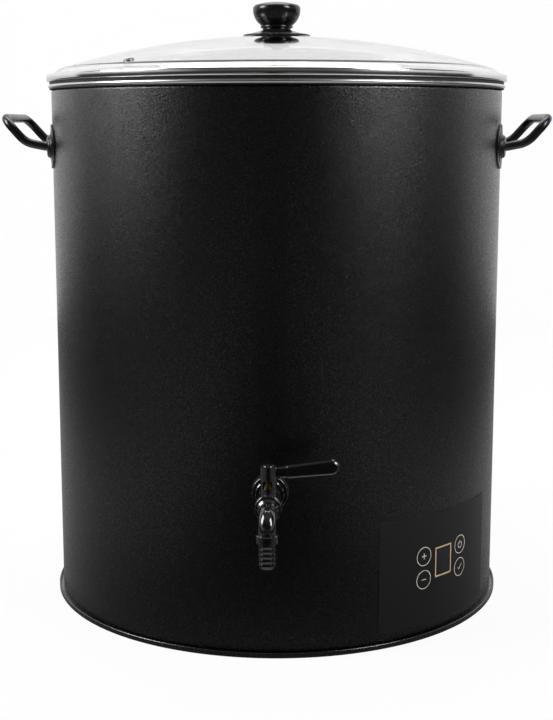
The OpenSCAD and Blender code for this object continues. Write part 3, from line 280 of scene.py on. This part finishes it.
def settled_dust_effect():
    """Light dust on faces that look up, broken up by soft noise, and faint smudges anywhere."""
    group, inside, outside = effect_group(
        "settled_dust",
        [("Amount", FLOAT, 0.3), ("Patches per metre", FLOAT, 26.0)],
        [("Dust", FLOAT), ("Smudge", FLOAT)],
    )
    place = object_place(group)
    facing = axes_of(group, group.nodes.new("ShaderNodeNewGeometry").outputs["Normal"])
    facing_up = ramp(group, facing["Z"], 0.35, 1.0)
    broken = ramp(group, noise(group, place, inside.outputs["Patches per metre"], 5.0), 0.35, 0.75)
    specks = ramp(group, noise(group, place, 1400.0, 1.0), 0.52, 0.7)
    film_and_specks = math_node(group, "MULTIPLY_ADD", specks, 0.6, 0.4)
    patches = math_node(group, "MULTIPLY", facing_up, broken)
    dust = math_node(group, "MULTIPLY", patches, film_and_specks)
    amount = math_node(group, "MULTIPLY", dust, inside.outputs["Amount"])
    group.links.new(amount, outside.inputs["Dust"])
    group.links.new(broken, outside.inputs["Smudge"])
    return group


def powder_grain_effect():
    """Rough skin of a textured powder coat: fine grit on rounded grains, some of them glossier."""
    group, inside, outside = effect_group(
        "powder_grain",
        [("Grains per metre", FLOAT, 620.0), ("Grit", FLOAT, 0.6)],
        [("Height", FLOAT), ("Sparkle", FLOAT), ("Cloud", FLOAT)],
    )
    place = object_place(group)
    grains = inside.outputs["Grains per metre"]
    swell = noise(group, place, grains, 1.0)
    grit = noise(group, place, math_node(group, "MULTIPLY", grains, 4.5), 1.0)
    height = math_node(group, "MULTIPLY_ADD", grit, inside.outputs["Grit"], swell)
    glossy = noise(group, place, math_node(group, "MULTIPLY", grains, 1.4), 2.0, 0.7)
    group.links.new(height, outside.inputs["Height"])
    group.links.new(ramp(group, glossy, 0.5, 0.68), outside.inputs["Sparkle"])
    group.links.new(noise(group, place, 9.0, 3.0), outside.inputs["Cloud"])
    return group


settled_dust = settled_dust_effect()
powder_grain = powder_grain_effect()


def place_effect(tree, group, vector=None, **values):
    """An effect in a material, with its own values for the inputs."""
    node = tree.nodes.new("ShaderNodeGroup")
    node.node_tree = group
    for label, value in values.items():
        node.inputs[label.replace("_", " ")].default_value = value
    if vector is not None:
        tree.links.new(vector, node.inputs["Vector"])
    return node.outputs


def between(tree, low, high, mask):
    """A colour that runs from low to high with a mask; each colour is a triple or a socket."""
    mix = tree.nodes.new("ShaderNodeMix")
    mix.data_type = "RGBA"
    for label, colour in (("A", low), ("B", high)):
        if isinstance(colour, tuple):
            mix.inputs[label].default_value = (*colour, 1)
        else:
            tree.links.new(colour, mix.inputs[label])
    tree.links.new(mask, mix.inputs["Factor"])
    return mix.outputs["Result"]


def bump(tree, shader, height, depth):
    """Relief from a height socket, with a depth in metres."""
    relief = tree.nodes.new("ShaderNodeBump")
    relief.inputs["Distance"].default_value = depth
    tree.links.new(height, relief.inputs["Height"])
    tree.links.new(relief.outputs["Normal"], shader.inputs["Normal"])


def skin(tree, shader, colour, roughness, mask, height, depth, dust=0.3, settled_colour=GREY_DUST):
    """Colour with settled dust, a low to high roughness that follows a mask, and relief."""
    low, high = roughness
    settled = place_effect(tree, settled_dust, Amount=dust)
    dusty = between(tree, colour, settled_colour, settled["Dust"])
    tree.links.new(dusty, shader.inputs["Base Color"])
    rough = ramp(tree, mask, 0.0, 1.0, low, high)
    smudged = math_node(tree, "MULTIPLY_ADD", settled["Smudge"], (high - low) * 0.5, rough)
    tree.links.new(smudged, shader.inputs["Roughness"])
    bump(tree, shader, height, depth)


def wear(material, *names):
    """Put a material on CAD nodes."""
    for name in names:
        mesh = nodes[name].data
        mesh.materials.clear()
        mesh.materials.append(material)


def rounded(*names):
    """Shade CAD nodes smoothly over every edge that bends less than smooth_below degrees."""
    limit = math.cos(math.radians(smooth_below))
    for name in names:
        mesh = nodes[name].data
        mesh.shade_smooth()
        places = [tuple(round(c, 6) for c in vertex.co) for vertex in mesh.vertices]
        around = {}
        for face in mesh.polygons:
            corners = [mesh.vertices[v].co for v in face.vertices]
            for k, v in enumerate(face.vertices):
                back = corners[k - 1] - corners[k]
                ahead = corners[(k + 1) % len(corners)] - corners[k]
                weighted = (face.normal.copy(), back.angle(ahead, 0.0))
                around.setdefault(places[v], []).append(weighted)
        normals = []
        for face in mesh.polygons:
            for v in face.vertices:
                total = face.normal * 0.0001
                for normal, weight in around[places[v]]:
                    if normal.dot(face.normal) > limit:
                        total += normal * weight
                normals.append(total.normalized())
        mesh.normals_split_custom_set(normals)


def powder_coated(name, roughness, depth, specular):
    """Black powder coat that sparkles where light strikes its grains."""
    material, tree, shader = new_material(name)
    grain = place_effect(tree, powder_grain)
    colours = between(tree, (0.0009, 0.0009, 0.001), (0.0013, 0.0013, 0.0014), grain["Cloud"])
    skin(tree, shader, colours, roughness, grain["Cloud"], grain["Height"], depth)
    tree.links.new(ramp(tree, grain["Sparkle"], 0.0, 1.0, 0.04, 0.75), shader.inputs["Coat Weight"])
    shader.inputs["Coat Roughness"].default_value = 0.285
    shader.inputs["Coat IOR"].default_value = 2.0
    shader.inputs["Specular IOR Level"].default_value = specular
    return material


shell_coat = powder_coated("shell_powder_coat", roughness=(0.1, 0.13), depth=0.00024, specular=0.6)
ring_coat = powder_coated("ring_powder_coat", roughness=(0.08, 0.12), depth=0.00007, specular=0.8)
wear(shell_coat, "outer_shell")
wear(ring_coat, "base_ring")
rounded("base_ring")

# ---- pot and its rim seal ----
# Deep-drawn stainless pot, polished with a belt while it spins, so fine lines run round it.
# A thin black seal lies under its rolled rim.


def turned_lines_effect():
    """Fine lines round the vector's Z axis, as on spun, turned or polished metal."""
    group, inside, outside = effect_group(
        "turned_lines",
        [("Vector", VECTOR, None), ("Lines per metre", FLOAT, 2500.0), ("Waver", FLOAT, 3.0)],
        [("Height", FLOAT), ("Streak", FLOAT)],
    )
    link = group.links.new
    vector = inside.outputs["Vector"]
    lines = inside.outputs["Lines per metre"]
    place = axes_of(group, vector)
    flat = group.nodes.new("ShaderNodeVectorMath")
    flat.operation = "MULTIPLY"
    flat.inputs[1].default_value = (1, 1, 0)
    reach = group.nodes.new("ShaderNodeVectorMath")
    reach.operation = "LENGTH"
    unrolled = group.nodes.new("ShaderNodeCombineXYZ")
    link(vector, flat.inputs[0])
    link(flat.outputs[0], reach.inputs[0])
    angle = math_node(group, "ARCTAN2", place["Y"], place["X"])
    link(math_node(group, "MULTIPLY", angle, inside.outputs["Waver"]), unrolled.inputs["X"])
    link(math_node(group, "MULTIPLY", place["Z"], lines), unrolled.inputs["Y"])
    link(math_node(group, "MULTIPLY", reach.outputs["Value"], lines), unrolled.inputs["Z"])
    link(noise(group, unrolled.outputs[0], 1.0, 2.0), outside.inputs["Height"])
    link(noise(group, unrolled.outputs[0], 0.12, 3.0), outside.inputs["Streak"])
    return group


turned_lines = turned_lines_effect()


def about(tree, centre, turn):
    """Object coordinates moved to a centre and turned, so that an effect runs round that axis."""
    node = tree.nodes.new("ShaderNodeMapping")
    node.vector_type = "TEXTURE"
    node.inputs["Location"].default_value = centre
    node.inputs["Rotation"].default_value = turn
    tree.links.new(object_place(tree), node.inputs["Vector"])
    return node.outputs[0]


def spun(name, dark, light, roughness, lines, depth, centre=(0, 0, 0), turn=(0, 0, 0), waver=3.0):
    """Bare metal with turned or polished lines round an axis, so many lines to the metre."""
    material, tree, shader = new_material(name)
    place = about(tree, centre, turn)
    effect = place_effect(tree, turned_lines, place, Lines_per_metre=lines, Waver=waver)
    colours = between(tree, dark, light, effect["Streak"])
    skin(tree, shader, colours, roughness, effect["Streak"], effect["Height"], depth, dust=0.15)
    shader.inputs["Metallic"].default_value = 1.0
    return material


pot_steel = spun(
    "pot_steel",
    dark=(0.66, 0.655, 0.64),
    light=(0.72, 0.715, 0.70),
    roughness=(0.24, 0.3),
    lines=3000.0,
    depth=0.000003,
)
wear(pot_steel, "inner_pot", "pot_floor")
rounded("inner_pot")


def rubber(name, colour, light):
    """Matt rubber with a soft mottled skin."""
    material, tree, shader = new_material(name)
    place = object_place(tree)
    mottle = noise(tree, place, 220.0, 3.0)
    grain = noise(tree, place, 1500.0)
    colours = between(tree, colour, light, mottle)
    skin(tree, shader, colours, (0.55, 0.75), mottle, grain, 0.00005, dust=0.5)
    return material


seal_black = rubber("seal_rubber", (0.008, 0.008, 0.008), (0.02, 0.02, 0.02))
wear(seal_black, "rim_seal", "tap_gasket_outer", "lid_gasket")

# ---- bottom plate and fasteners ----
# The bottom plate and the heat shield are mill-finish sheet. Zinc-plated screws, nuts,
# studs and spacers hold them and the other pieces.
WARM_DUST = (0.2, 0.19, 0.17)


def plated(name, dark, light, roughness, patches, streaked=False):
    """Sheet or plated metal: mottled, lightly streaked along X and dulled in patches."""
    material, tree, shader = new_material(name)
    place = object_place(tree)
    stretched = tree.nodes.new("ShaderNodeMapping")
    stretched.inputs["Scale"].default_value = (0.06, 1, 1) if streaked else (1, 1, 1)
    tree.links.new(place, stretched.inputs["Vector"])
    grain = noise(tree, stretched.outputs[0], 900.0, 3.0)
    cloud = noise(tree, place, patches, 4.0)
    colours = between(tree, dark, light, cloud)
    skin(tree, shader, colours, roughness, cloud, grain, 0.00002, 0.4, WARM_DUST)
    shader.inputs["Metallic"].default_value = 1.0
    return material


mill_steel = plated(
    "mill_steel",
    dark=(0.36, 0.36, 0.37),
    light=(0.52, 0.52, 0.53),
    roughness=(0.28, 0.5),
    patches=18.0,
    streaked=True,
)
wear(mill_steel, "bottom_plate", "heat_shield")
zinc = plated(
    "zinc_plate",
    dark=(0.46, 0.47, 0.48),
    light=(0.62, 0.62, 0.60),
    roughness=(0.26, 0.42),
    patches=240.0,
)
wear(
    zinc,
    "base_screws",
    "handle_saddles",
    "handle_nuts",
    "housing_nuts",
    "board_posts",
    "shield_studs",
    "shield_nuts",
    "knob_screw",
    "temperature_probe",
    "key_springs",
    "tap_spacer",
)

# ---- handles ----
# Two handles of bent round bar with a smooth satin black coat. Each end passes through a
# pressed round plate and the shell, and a saddle washer and a nut hold it inside.


def coat_grain_effect():
    """Orange-peel grain of a sprayed or moulded skin, sparse bright flecks and slow clouds."""
    group, inside, outside = effect_group(
        "coat_grain",
        [("Grains per metre", FLOAT, 900.0), ("Fleck size", FLOAT, 0.2)],
        [("Height", FLOAT), ("Fleck", FLOAT), ("Cloud", FLOAT)],
    )
    link = group.links.new
    place = object_place(group)
    grains = inside.outputs["Grains per metre"]
    flecks = group.nodes.new("ShaderNodeTexVoronoi")
    shade = group.nodes.new("ShaderNodeSeparateColor")
    link(place, flecks.inputs["Vector"])
    link(grains, flecks.inputs["Scale"])
    link(flecks.outputs["Color"], shade.inputs["Color"])
    near = math_node(group, "LESS_THAN", flecks.outputs["Distance"], inside.outputs["Fleck size"])
    chosen = math_node(group, "GREATER_THAN", shade.outputs["Red"], 0.62)
    link(noise(group, place, grains, 2.0, 0.55), outside.inputs["Height"])
    link(math_node(group, "MULTIPLY", near, chosen), outside.inputs["Fleck"])
    link(noise(group, place, 9.0, 3.0), outside.inputs["Cloud"])
    return group


coat_grain = coat_grain_effect()


def coated(name, colour, fleck_colour, fleck_size, roughness, grains, depth, specular):
    """A sprayed or printed black skin with flecks of another colour."""
    material, tree, shader = new_material(name)
    grain = place_effect(tree, coat_grain, Grains_per_metre=grains, Fleck_size=fleck_size)
    colours = between(tree, colour, fleck_colour, grain["Fleck"])
    skin(tree, shader, colours, roughness, grain["Cloud"], grain["Height"], depth)
    shader.inputs["Specular IOR Level"].default_value = specular
    return material


handle_coat = coated(
    "handle_coat",
    colour=(0.0035, 0.0035, 0.0037),
    fleck_colour=(0.02, 0.02, 0.021),
    fleck_size=0.2,
    roughness=(0.2, 0.3),
    grains=1600.0,
    depth=0.00003,
    specular=0.6,
)
wear(handle_coat, "handle_left", "handle_right", "handle_roses_left", "handle_roses_right")

# ---- draw-off tap ----
# Brass castings, turned and plated gloss black, with brass left bare inside. The shank's
# thread is a helical relief; the ball is chromed and runs in white seats.
tap_height = 0.144
stem_y = -0.25
thread_start = 0.1778
thread_end = 0.2085
thread_pitch = 0.0018
shank_centre = (0, 0, tap_height)
shank_turn = (math.pi / 2, 0, 0)
stem_centre = (0, stem_y, 0)


def screw_thread_effect():
    """A helical thread round the vector's Z axis, between two stations along it."""
    group, inside, outside = effect_group(
        "screw_thread",
        [
            ("Vector", VECTOR, None),
            ("Pitch", FLOAT, 0.0018),
            ("Start", FLOAT, 0.0),
            ("End", FLOAT, 0.1),
        ],
        [("Height", FLOAT), ("Mask", FLOAT)],
    )
    place = axes_of(group, inside.outputs["Vector"])
    turns = math_node(group, "DIVIDE", place["Z"], inside.outputs["Pitch"])
    angle = math_node(group, "ARCTAN2", place["Y"], place["X"])
    helix = math_node(group, "ADD", turns, math_node(group, "DIVIDE", angle, 2 * math.pi))
    ridge = math_node(group, "PINGPONG", helix, 0.5)
    after = math_node(group, "GREATER_THAN", place["Z"], inside.outputs["Start"])
    before = math_node(group, "LESS_THAN", place["Z"], inside.outputs["End"])
    mask = math_node(group, "MULTIPLY", after, before)
    group.links.new(math_node(group, "MULTIPLY", ridge, mask), outside.inputs["Height"])
    group.links.new(mask, outside.inputs["Mask"])
    return group


screw_thread = screw_thread_effect()


def black_plate():
    """Gloss black plating on a casting, a little lighter on the shank's thread."""
    material, tree, shader = new_material("tap_black_plate")
    grain = place_effect(tree, coat_grain, Grains_per_metre=700.0, Fleck_size=0.0)
    place = about(tree, shank_centre, shank_turn)
    thread = place_effect(
        tree, screw_thread, place, Pitch=thread_pitch, Start=thread_start, End=thread_end
    )
    height = math_node(tree, "MULTIPLY_ADD", grain["Height"], 0.03, thread["Height"])
    colours = between(tree, (0.0035, 0.0034, 0.0034), (0.012, 0.011, 0.010), thread["Mask"])
    skin(tree, shader, colours, (0.07, 0.16), grain["Cloud"], height, 0.0009, dust=0.25)
    shader.inputs["Specular IOR Level"].default_value = 0.7
    shader.inputs["Coat Weight"].default_value = 0.4
    shader.inputs["Coat Roughness"].default_value = 0.05
    return material


wear(
    black_plate(),
    "tap_body",
    "spout_elbow",
    "spout_collar",
    "spout_barb",
    "tap_lever",
    "lever_screw",
)
rounded("spout_elbow", "spout_barb", "tap_body")
tap_brass = spun(
    "tap_brass",
    dark=(0.50, 0.36, 0.15),
    light=(0.70, 0.53, 0.26),
    roughness=(0.2, 0.34),
    lines=4000.0,
    depth=0.00001,
    centre=shank_centre,
    turn=shank_turn,
    waver=8.0,
)
wear(tap_brass, "tap_back_nut")
# The stem and packing nut wear brass darkened to about a third of the shank nut's brass: painted
# shade of the notch they sit in.
shaded_stem_brass = spun(
    "shaded_stem_brass",
    dark=(0.16, 0.11, 0.05),
    light=(0.26, 0.18, 0.09),
    roughness=(0.18, 0.3),
    lines=5000.0,
    depth=0.00001,
    centre=stem_centre,
    waver=6.0,
)
wear(shaded_stem_brass, "packing_nut", "valve_stem")
ball_chrome = spun(
    "ball_chrome",
    dark=(0.60, 0.60, 0.61),
    light=(0.72, 0.72, 0.73),
    roughness=(0.05, 0.1),
    lines=6000.0,
    depth=0.000003,
    centre=stem_centre,
)
wear(ball_chrome, "valve_ball")


def moulded(name, dark, light, roughness, grains, depth, dust=0.3):
    """Moulded plastic with an eroded skin."""
    material, tree, shader = new_material(name)
    place = object_place(tree)
    cloud = noise(tree, place, 60.0, 3.0)
    grain = noise(tree, place, grains, 3.0)
    skin(tree, shader, between(tree, dark, light, cloud), roughness, cloud, grain, depth, dust)
    return material


seat_ptfe = moulded(
    "seat_ptfe",
    dark=(0.74, 0.74, 0.71),
    light=(0.86, 0.86, 0.83),
    roughness=(0.35, 0.5),
    grains=2500.0,
    depth=0.00002,
)
wear(seat_ptfe, "ball_seats", "packing_ring")
wear(rubber("silicone_red", (0.42, 0.09, 0.05), (0.5, 0.13, 0.08)), "tap_gasket_inner")

# ---- control panel ----
# Printed plastic film on the shell: four ringed touch keys beside a tinted window with a
# gold border. The prints are thin raised ink, curved with the film.
panel_azimuth = math.radians(45.7)
film_radius = 0.2104
window_middle = 0.0649
window_half_width = 0.011
window_half_height = 0.0135
border_width = 0.0013
left_keys, right_keys = -0.0248, 0.0248
upper_keys, lower_keys = 0.0735, 0.0525
key_radius = 0.00845
key_ring_width = 0.0006
mark_width = 0.0007
mark_half = 0.0026
mark_gap = 0.00035
ink_lift = 0.00006


def film_point(across, height, lift):
    """A point on the film, from its distance across the panel and its height above the table."""
    radius = film_radius + lift
    angle = panel_azimuth + math.asin(across / film_radius)
    return (math.sin(angle) * radius, -math.cos(angle) * radius, height)


def raised_ink(name, bands, closed, material):
    """Raised ink from bands of (one edge, other edge) point pairs, with ends unless closed."""
    shape = bmesh.new()
    for band in bands:
        sections = []
        for one, other in band:
            corners = ((one, 0.0), (one, ink_lift), (other, ink_lift), (other, 0.0))
            sections.append([shape.verts.new(film_point(*point, lift)) for point, lift in corners])
        following = sections[1:] + sections[:1] if closed else sections[1:]
        for here, there in zip(sections, following):
            for k in range(4):
                shape.faces.new((here[k], here[(k + 1) % 4], there[(k + 1) % 4], there[k]))
        if not closed:
            shape.faces.new(sections[0])
            shape.faces.new(sections[-1][::-1])
    bmesh.ops.recalc_face_normals(shape, faces=shape.faces)
    mesh = bpy.data.meshes.new(name)
    shape.to_mesh(mesh)
    shape.free()
    mesh.materials.append(material)
    piece = bpy.data.objects.new(name, mesh)
    bpy.context.collection.objects.link(piece)
    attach(piece, "casing")


def ring(across, height, radius, width, steps=72):
    """A closed ring, as (inner, outer) point pairs."""
    band = []
    for k in range(steps):
        x, z = math.cos(math.radians(360.0 * k / steps)), math.sin(math.radians(360.0 * k / steps))
        band.append([(across + x * r, height + z * r) for r in (radius - width, radius)])
    return band


def stroke(points, width):
    """A line of a width through points, as (left, right) point pairs with square ends."""
    band = []
    for k, (x, z) in enumerate(points):
        before, after = points[max(k - 1, 0)], points[min(k + 1, len(points) - 1)]
        dx, dz = after[0] - before[0], after[1] - before[1]
        size = math.hypot(dx, dz)
        nx, nz = -dz / size * width / 2, dx / size * width / 2
        band.append(((x + nx, z + nz), (x - nx, z - nz)))
    return band


def arc(across, height, radius, start, end, steps=28):
    """Points along an arc; its angles are in degrees from the right, upwards."""
    points = []
    for k in range(steps + 1):
        angle = math.radians(start + (end - start) * k / steps)
        points.append((across + math.cos(angle) * radius, height + math.sin(angle) * radius))
    return points


def straight(start, end, steps=6):
    """Points along a straight line."""
    (x0, z0), (x1, z1) = start, end
    return [(x0 + (x1 - x0) * k / steps, z0 + (z1 - z0) * k / steps) for k in range(steps + 1)]


def key_line(column, row, start, end):
    """Points along a straight line on a key, between two offsets from the key's middle."""
    return straight((column + start[0], row + start[1]), (column + end[0], row + end[1]))


def printed(name, colour, worn, metallic):
    """Screen-printed ink with a little unevenness."""
    material, tree, shader = new_material(name)
    mottle = noise(tree, object_place(tree), 900.0, 3.0)
    colours = between(tree, colour, worn, mottle)
    skin(tree, shader, colours, (0.3, 0.45), mottle, mottle, 0.00001, dust=0.1)
    shader.inputs["Metallic"].default_value = metallic
    return material


pale_ink = printed("pale_ink", (0.72, 0.68, 0.6), (0.6, 0.57, 0.5), 0.0)
gold_ink = printed("gold_ink", (0.74, 0.54, 0.32), (0.6, 0.42, 0.24), 0.2)
film = coated(
    "panel_film",
    colour=(0.0085, 0.0085, 0.0088),
    fleck_colour=(0.0085, 0.0085, 0.0088),
    fleck_size=0.0,
    roughness=(0.3, 0.36),
    grains=900.0,
    depth=0.00001,
    specular=0.4,
)
wear(film, "panel_film")
display_tint = moulded(
    "display_tint",
    dark=(0.012, 0.0125, 0.014),
    light=(0.014, 0.0145, 0.016),
    roughness=(0.08, 0.14),
    grains=500.0,
    depth=0.000002,
    dust=0.1,
)
wear(display_tint, "display_window")

key_rings = [
    ring(column, row, key_radius, key_ring_width)
    for column in (left_keys, right_keys)
    for row in (upper_keys, lower_keys)
]
raised_ink("key_rings", key_rings, True, pale_ink)

# Plus, minus, power and tick.
key_marks = [
    key_line(left_keys, upper_keys, (-mark_half, 0), (mark_half, 0)),
    key_line(left_keys, upper_keys, (0, -mark_half), (0, -mark_gap)),
    key_line(left_keys, upper_keys, (0, mark_gap), (0, mark_half)),
    key_line(left_keys, lower_keys, (-mark_half, 0), (mark_half, 0)),
    arc(right_keys, upper_keys - 0.0003, radius=0.0029, start=122, end=418),
    key_line(right_keys, upper_keys, (0, 0.0004), (0, 0.0036)),
    key_line(right_keys, lower_keys, (-0.0028, 0), (-0.0008, -0.0021)),
    key_line(right_keys, lower_keys, (-0.0006, -0.0018), (0.003, 0.0024)),
]
mark_strokes = [stroke(points, mark_width) for points in key_marks]
raised_ink("key_marks", mark_strokes, False, pale_ink)

border_lines = []
for side in (-1, 1):
    x = side * (window_half_width - border_width / 2)
    bottom, top = window_middle - window_half_height, window_middle + window_half_height
    border_lines.append(straight((x, bottom), (x, top)))
for side in (-1, 1):
    z = window_middle + side * (window_half_height - border_width / 2)
    left, right = -window_half_width + border_width, window_half_width - border_width
    border_lines.append(straight((left, z), (right, z), steps=12))
border_strokes = [stroke(points, border_width) for points in border_lines]
raised_ink("display_border", border_strokes, False, gold_ink)

# ---- electronics behind the panel and under the pot ----
# Moulded housing and gland, green circuit boards with copper tracks, a blue relay, pale
# terminals and a pale display frame.
black_plastic = moulded(
    "black_plastic",
    dark=(0.012, 0.012, 0.013),
    light=(0.02, 0.02, 0.021),
    roughness=(0.4, 0.55),
    grains=1300.0,
    depth=0.00005,
    dust=0.4,
)
wear(
    black_plastic,
    "control_housing",
    "cord_gland",
    "gland_cap",
    "gland_nut",
    "thermal_cutout",
    "knob_washers",
)


def circuit_board():
    """Green solder mask with lighter tracks and tinned pads."""
    material, tree, shader = new_material("circuit_board")
    place = object_place(tree)
    tracks = tree.nodes.new("ShaderNodeTexBrick")
    tracks.inputs["Scale"].default_value = 130.0
    tracks.inputs["Mortar Size"].default_value = 0.03
    tracks.inputs["Color1"].default_value = (0, 0, 0, 1)
    tracks.inputs["Color2"].default_value = (0, 0, 0, 1)
    tracks.inputs["Mortar"].default_value = (1, 1, 1, 1)
    tree.links.new(place, tracks.inputs["Vector"])
    pads = tree.nodes.new("ShaderNodeTexVoronoi")
    pads.inputs["Scale"].default_value = 260.0
    tree.links.new(place, pads.inputs["Vector"])
    tinned = math_node(tree, "LESS_THAN", pads.outputs["Distance"], 0.16)
    mask_colour = between(tree, (0.008, 0.07, 0.03), (0.02, 0.14, 0.06), tracks.outputs["Color"])
    colours = between(tree, mask_colour, (0.5, 0.5, 0.48), tinned)
    tree.links.new(tinned, shader.inputs["Metallic"])
    skin(tree, shader, colours, (0.25, 0.4), tinned, tracks.outputs["Color"], 0.00003)
    return material


wear(circuit_board(), "control_board", "power_board")
pale_plastic = moulded(
    "pale_plastic",
    dark=(0.6, 0.59, 0.54),
    light=(0.7, 0.69, 0.64),
    roughness=(0.35, 0.5),
    grains=1200.0,
    depth=0.00003,
)
wear(pale_plastic, "display_module", "terminal_block")
relay_blue = moulded(
    "relay_blue",
    dark=(0.01, 0.06, 0.3),
    light=(0.015, 0.08, 0.36),
    roughness=(0.2, 0.32),
    grains=900.0,
    depth=0.00002,
)
wear(relay_blue, "power_relay")

# ---- heaters and insulation ----
# Cast aluminium plate with a sheathed element in it, a mica band round the pot and pale
# glass felt.
heater_casting = spun(
    "heater_casting",
    dark=(0.42, 0.42, 0.43),
    light=(0.58, 0.58, 0.58),
    roughness=(0.32, 0.5),
    lines=900.0,
    depth=0.00006,
)
wear(heater_casting, "heater_plate")
element_sheath = plated(
    "element_sheath",
    dark=(0.12, 0.08, 0.06),
    light=(0.28, 0.22, 0.17),
    roughness=(0.35, 0.55),
    patches=60.0,
)
wear(element_sheath, "heating_element")
mica_band = plated(
    "mica_band",
    dark=(0.30, 0.20, 0.11),
    light=(0.46, 0.33, 0.20),
    roughness=(0.3, 0.5),
    patches=40.0,
    streaked=True,
)
wear(mica_band, "side_heater")


def glass_felt():
    """Needled glass felt: short fibres over soft tufts."""
    material, tree, shader = new_material("glass_felt")
    place = object_place(tree)
    tufts = noise(tree, place, 120.0, 4.0)
    fibres = tree.nodes.new("ShaderNodeTexVoronoi")
    fibres.feature = "DISTANCE_TO_EDGE"
    fibres.inputs["Scale"].default_value = 900.0
    tree.links.new(place, fibres.inputs["Vector"])
    height = math_node(tree, "ADD", fibres.outputs["Distance"], tufts)
    colours = between(tree, (0.55, 0.50, 0.38), (0.75, 0.71, 0.58), tufts)
    skin(tree, shader, colours, (0.85, 0.95), tufts, height, 0.0006, dust=0.1)
    shader.inputs["Sheen Weight"].default_value = 0.3
    return material


wear(glass_felt(), "side_insulation", "bottom_insulation")

# ---- glass lid ----
# Tempered glass dome in a polished rolled steel band, with a black gasket under the band
# and a small pressed steam vent set in the glass.


def clear_glass():
    """Clear, slightly green glass with a few wiped smudges, which lets light through to the pot."""
    material, tree, shader = new_material("lid_glass")
    place = object_place(tree)
    smudge = ramp(tree, noise(tree, place, 14.0, 4.0), 0.5, 0.8)
    tint = between(tree, (0.992, 1.0, 0.997), (0.975, 0.988, 0.984), smudge)
    tree.links.new(tint, shader.inputs["Base Color"])
    tree.links.new(ramp(tree, smudge, 0.0, 1.0, 0.0, 0.06), shader.inputs["Roughness"])
    bump(tree, shader, noise(tree, place, 25.0, 1.0), 0.00002)
    shader.inputs["Transmission Weight"].default_value = 1.0
    shader.inputs["IOR"].default_value = 1.5
    light_passing = tree.nodes.new("ShaderNodeBsdfTransparent")
    light_passing.inputs["Color"].default_value = (0.9, 0.92, 0.915, 1)
    shadow_ray = tree.nodes.new("ShaderNodeLightPath").outputs["Is Shadow Ray"]
    glass = mixed_shader(tree, shadow_ray, shader, light_passing)
    tree.links.new(glass.outputs[0], tree.nodes["Material Output"].inputs["Surface"])
    return material


wear(clear_glass(), "lid_glass")
lid_steel = spun(
    "lid_steel",
    dark=(0.74, 0.735, 0.72),
    light=(0.84, 0.835, 0.82),
    roughness=(0.1, 0.18),
    lines=2500.0,
    depth=0.000005,
)
wear(lid_steel, "lid_band")
rounded("lid_glass", "lid_band")
# The vent's steel is darkened to a dark grey: painted shade that stands for the dark slit of the
# vent.
shaded_vent_steel = spun(
    "shaded_vent_steel",
    dark=(0.16, 0.16, 0.155),
    light=(0.24, 0.24, 0.235),
    roughness=(0.3, 0.4),
    lines=2500.0,
    depth=0.000005,
)
wear(shaded_vent_steel, "steam_vent")

# ---- knob ----
# Turned phenolic plastic, polished to a gloss, on a seat disc of the same plastic. A screw
# from under the glass holds both.


def polished_black():
    """Gloss black with faint turning lines and fine wiping scratches."""
    material, tree, shader = new_material("knob_gloss")
    place = object_place(tree)
    lines = place_effect(tree, turned_lines, place, Lines_per_metre=3500.0, Waver=5.0)
    cloud = noise(tree, place, 70.0, 3.0)
    colours = between(tree, (0.0035, 0.0035, 0.0037), (0.006, 0.006, 0.0063), cloud)
    skin(tree, shader, colours, (0.16, 0.22), cloud, lines["Height"], 0.000002, dust=0.35)
    shader.inputs["Specular IOR Level"].default_value = 0.55
    return material


wear(polished_black(), "lid_knob", "knob_seat")
rounded("lid_knob", "knob_seat")
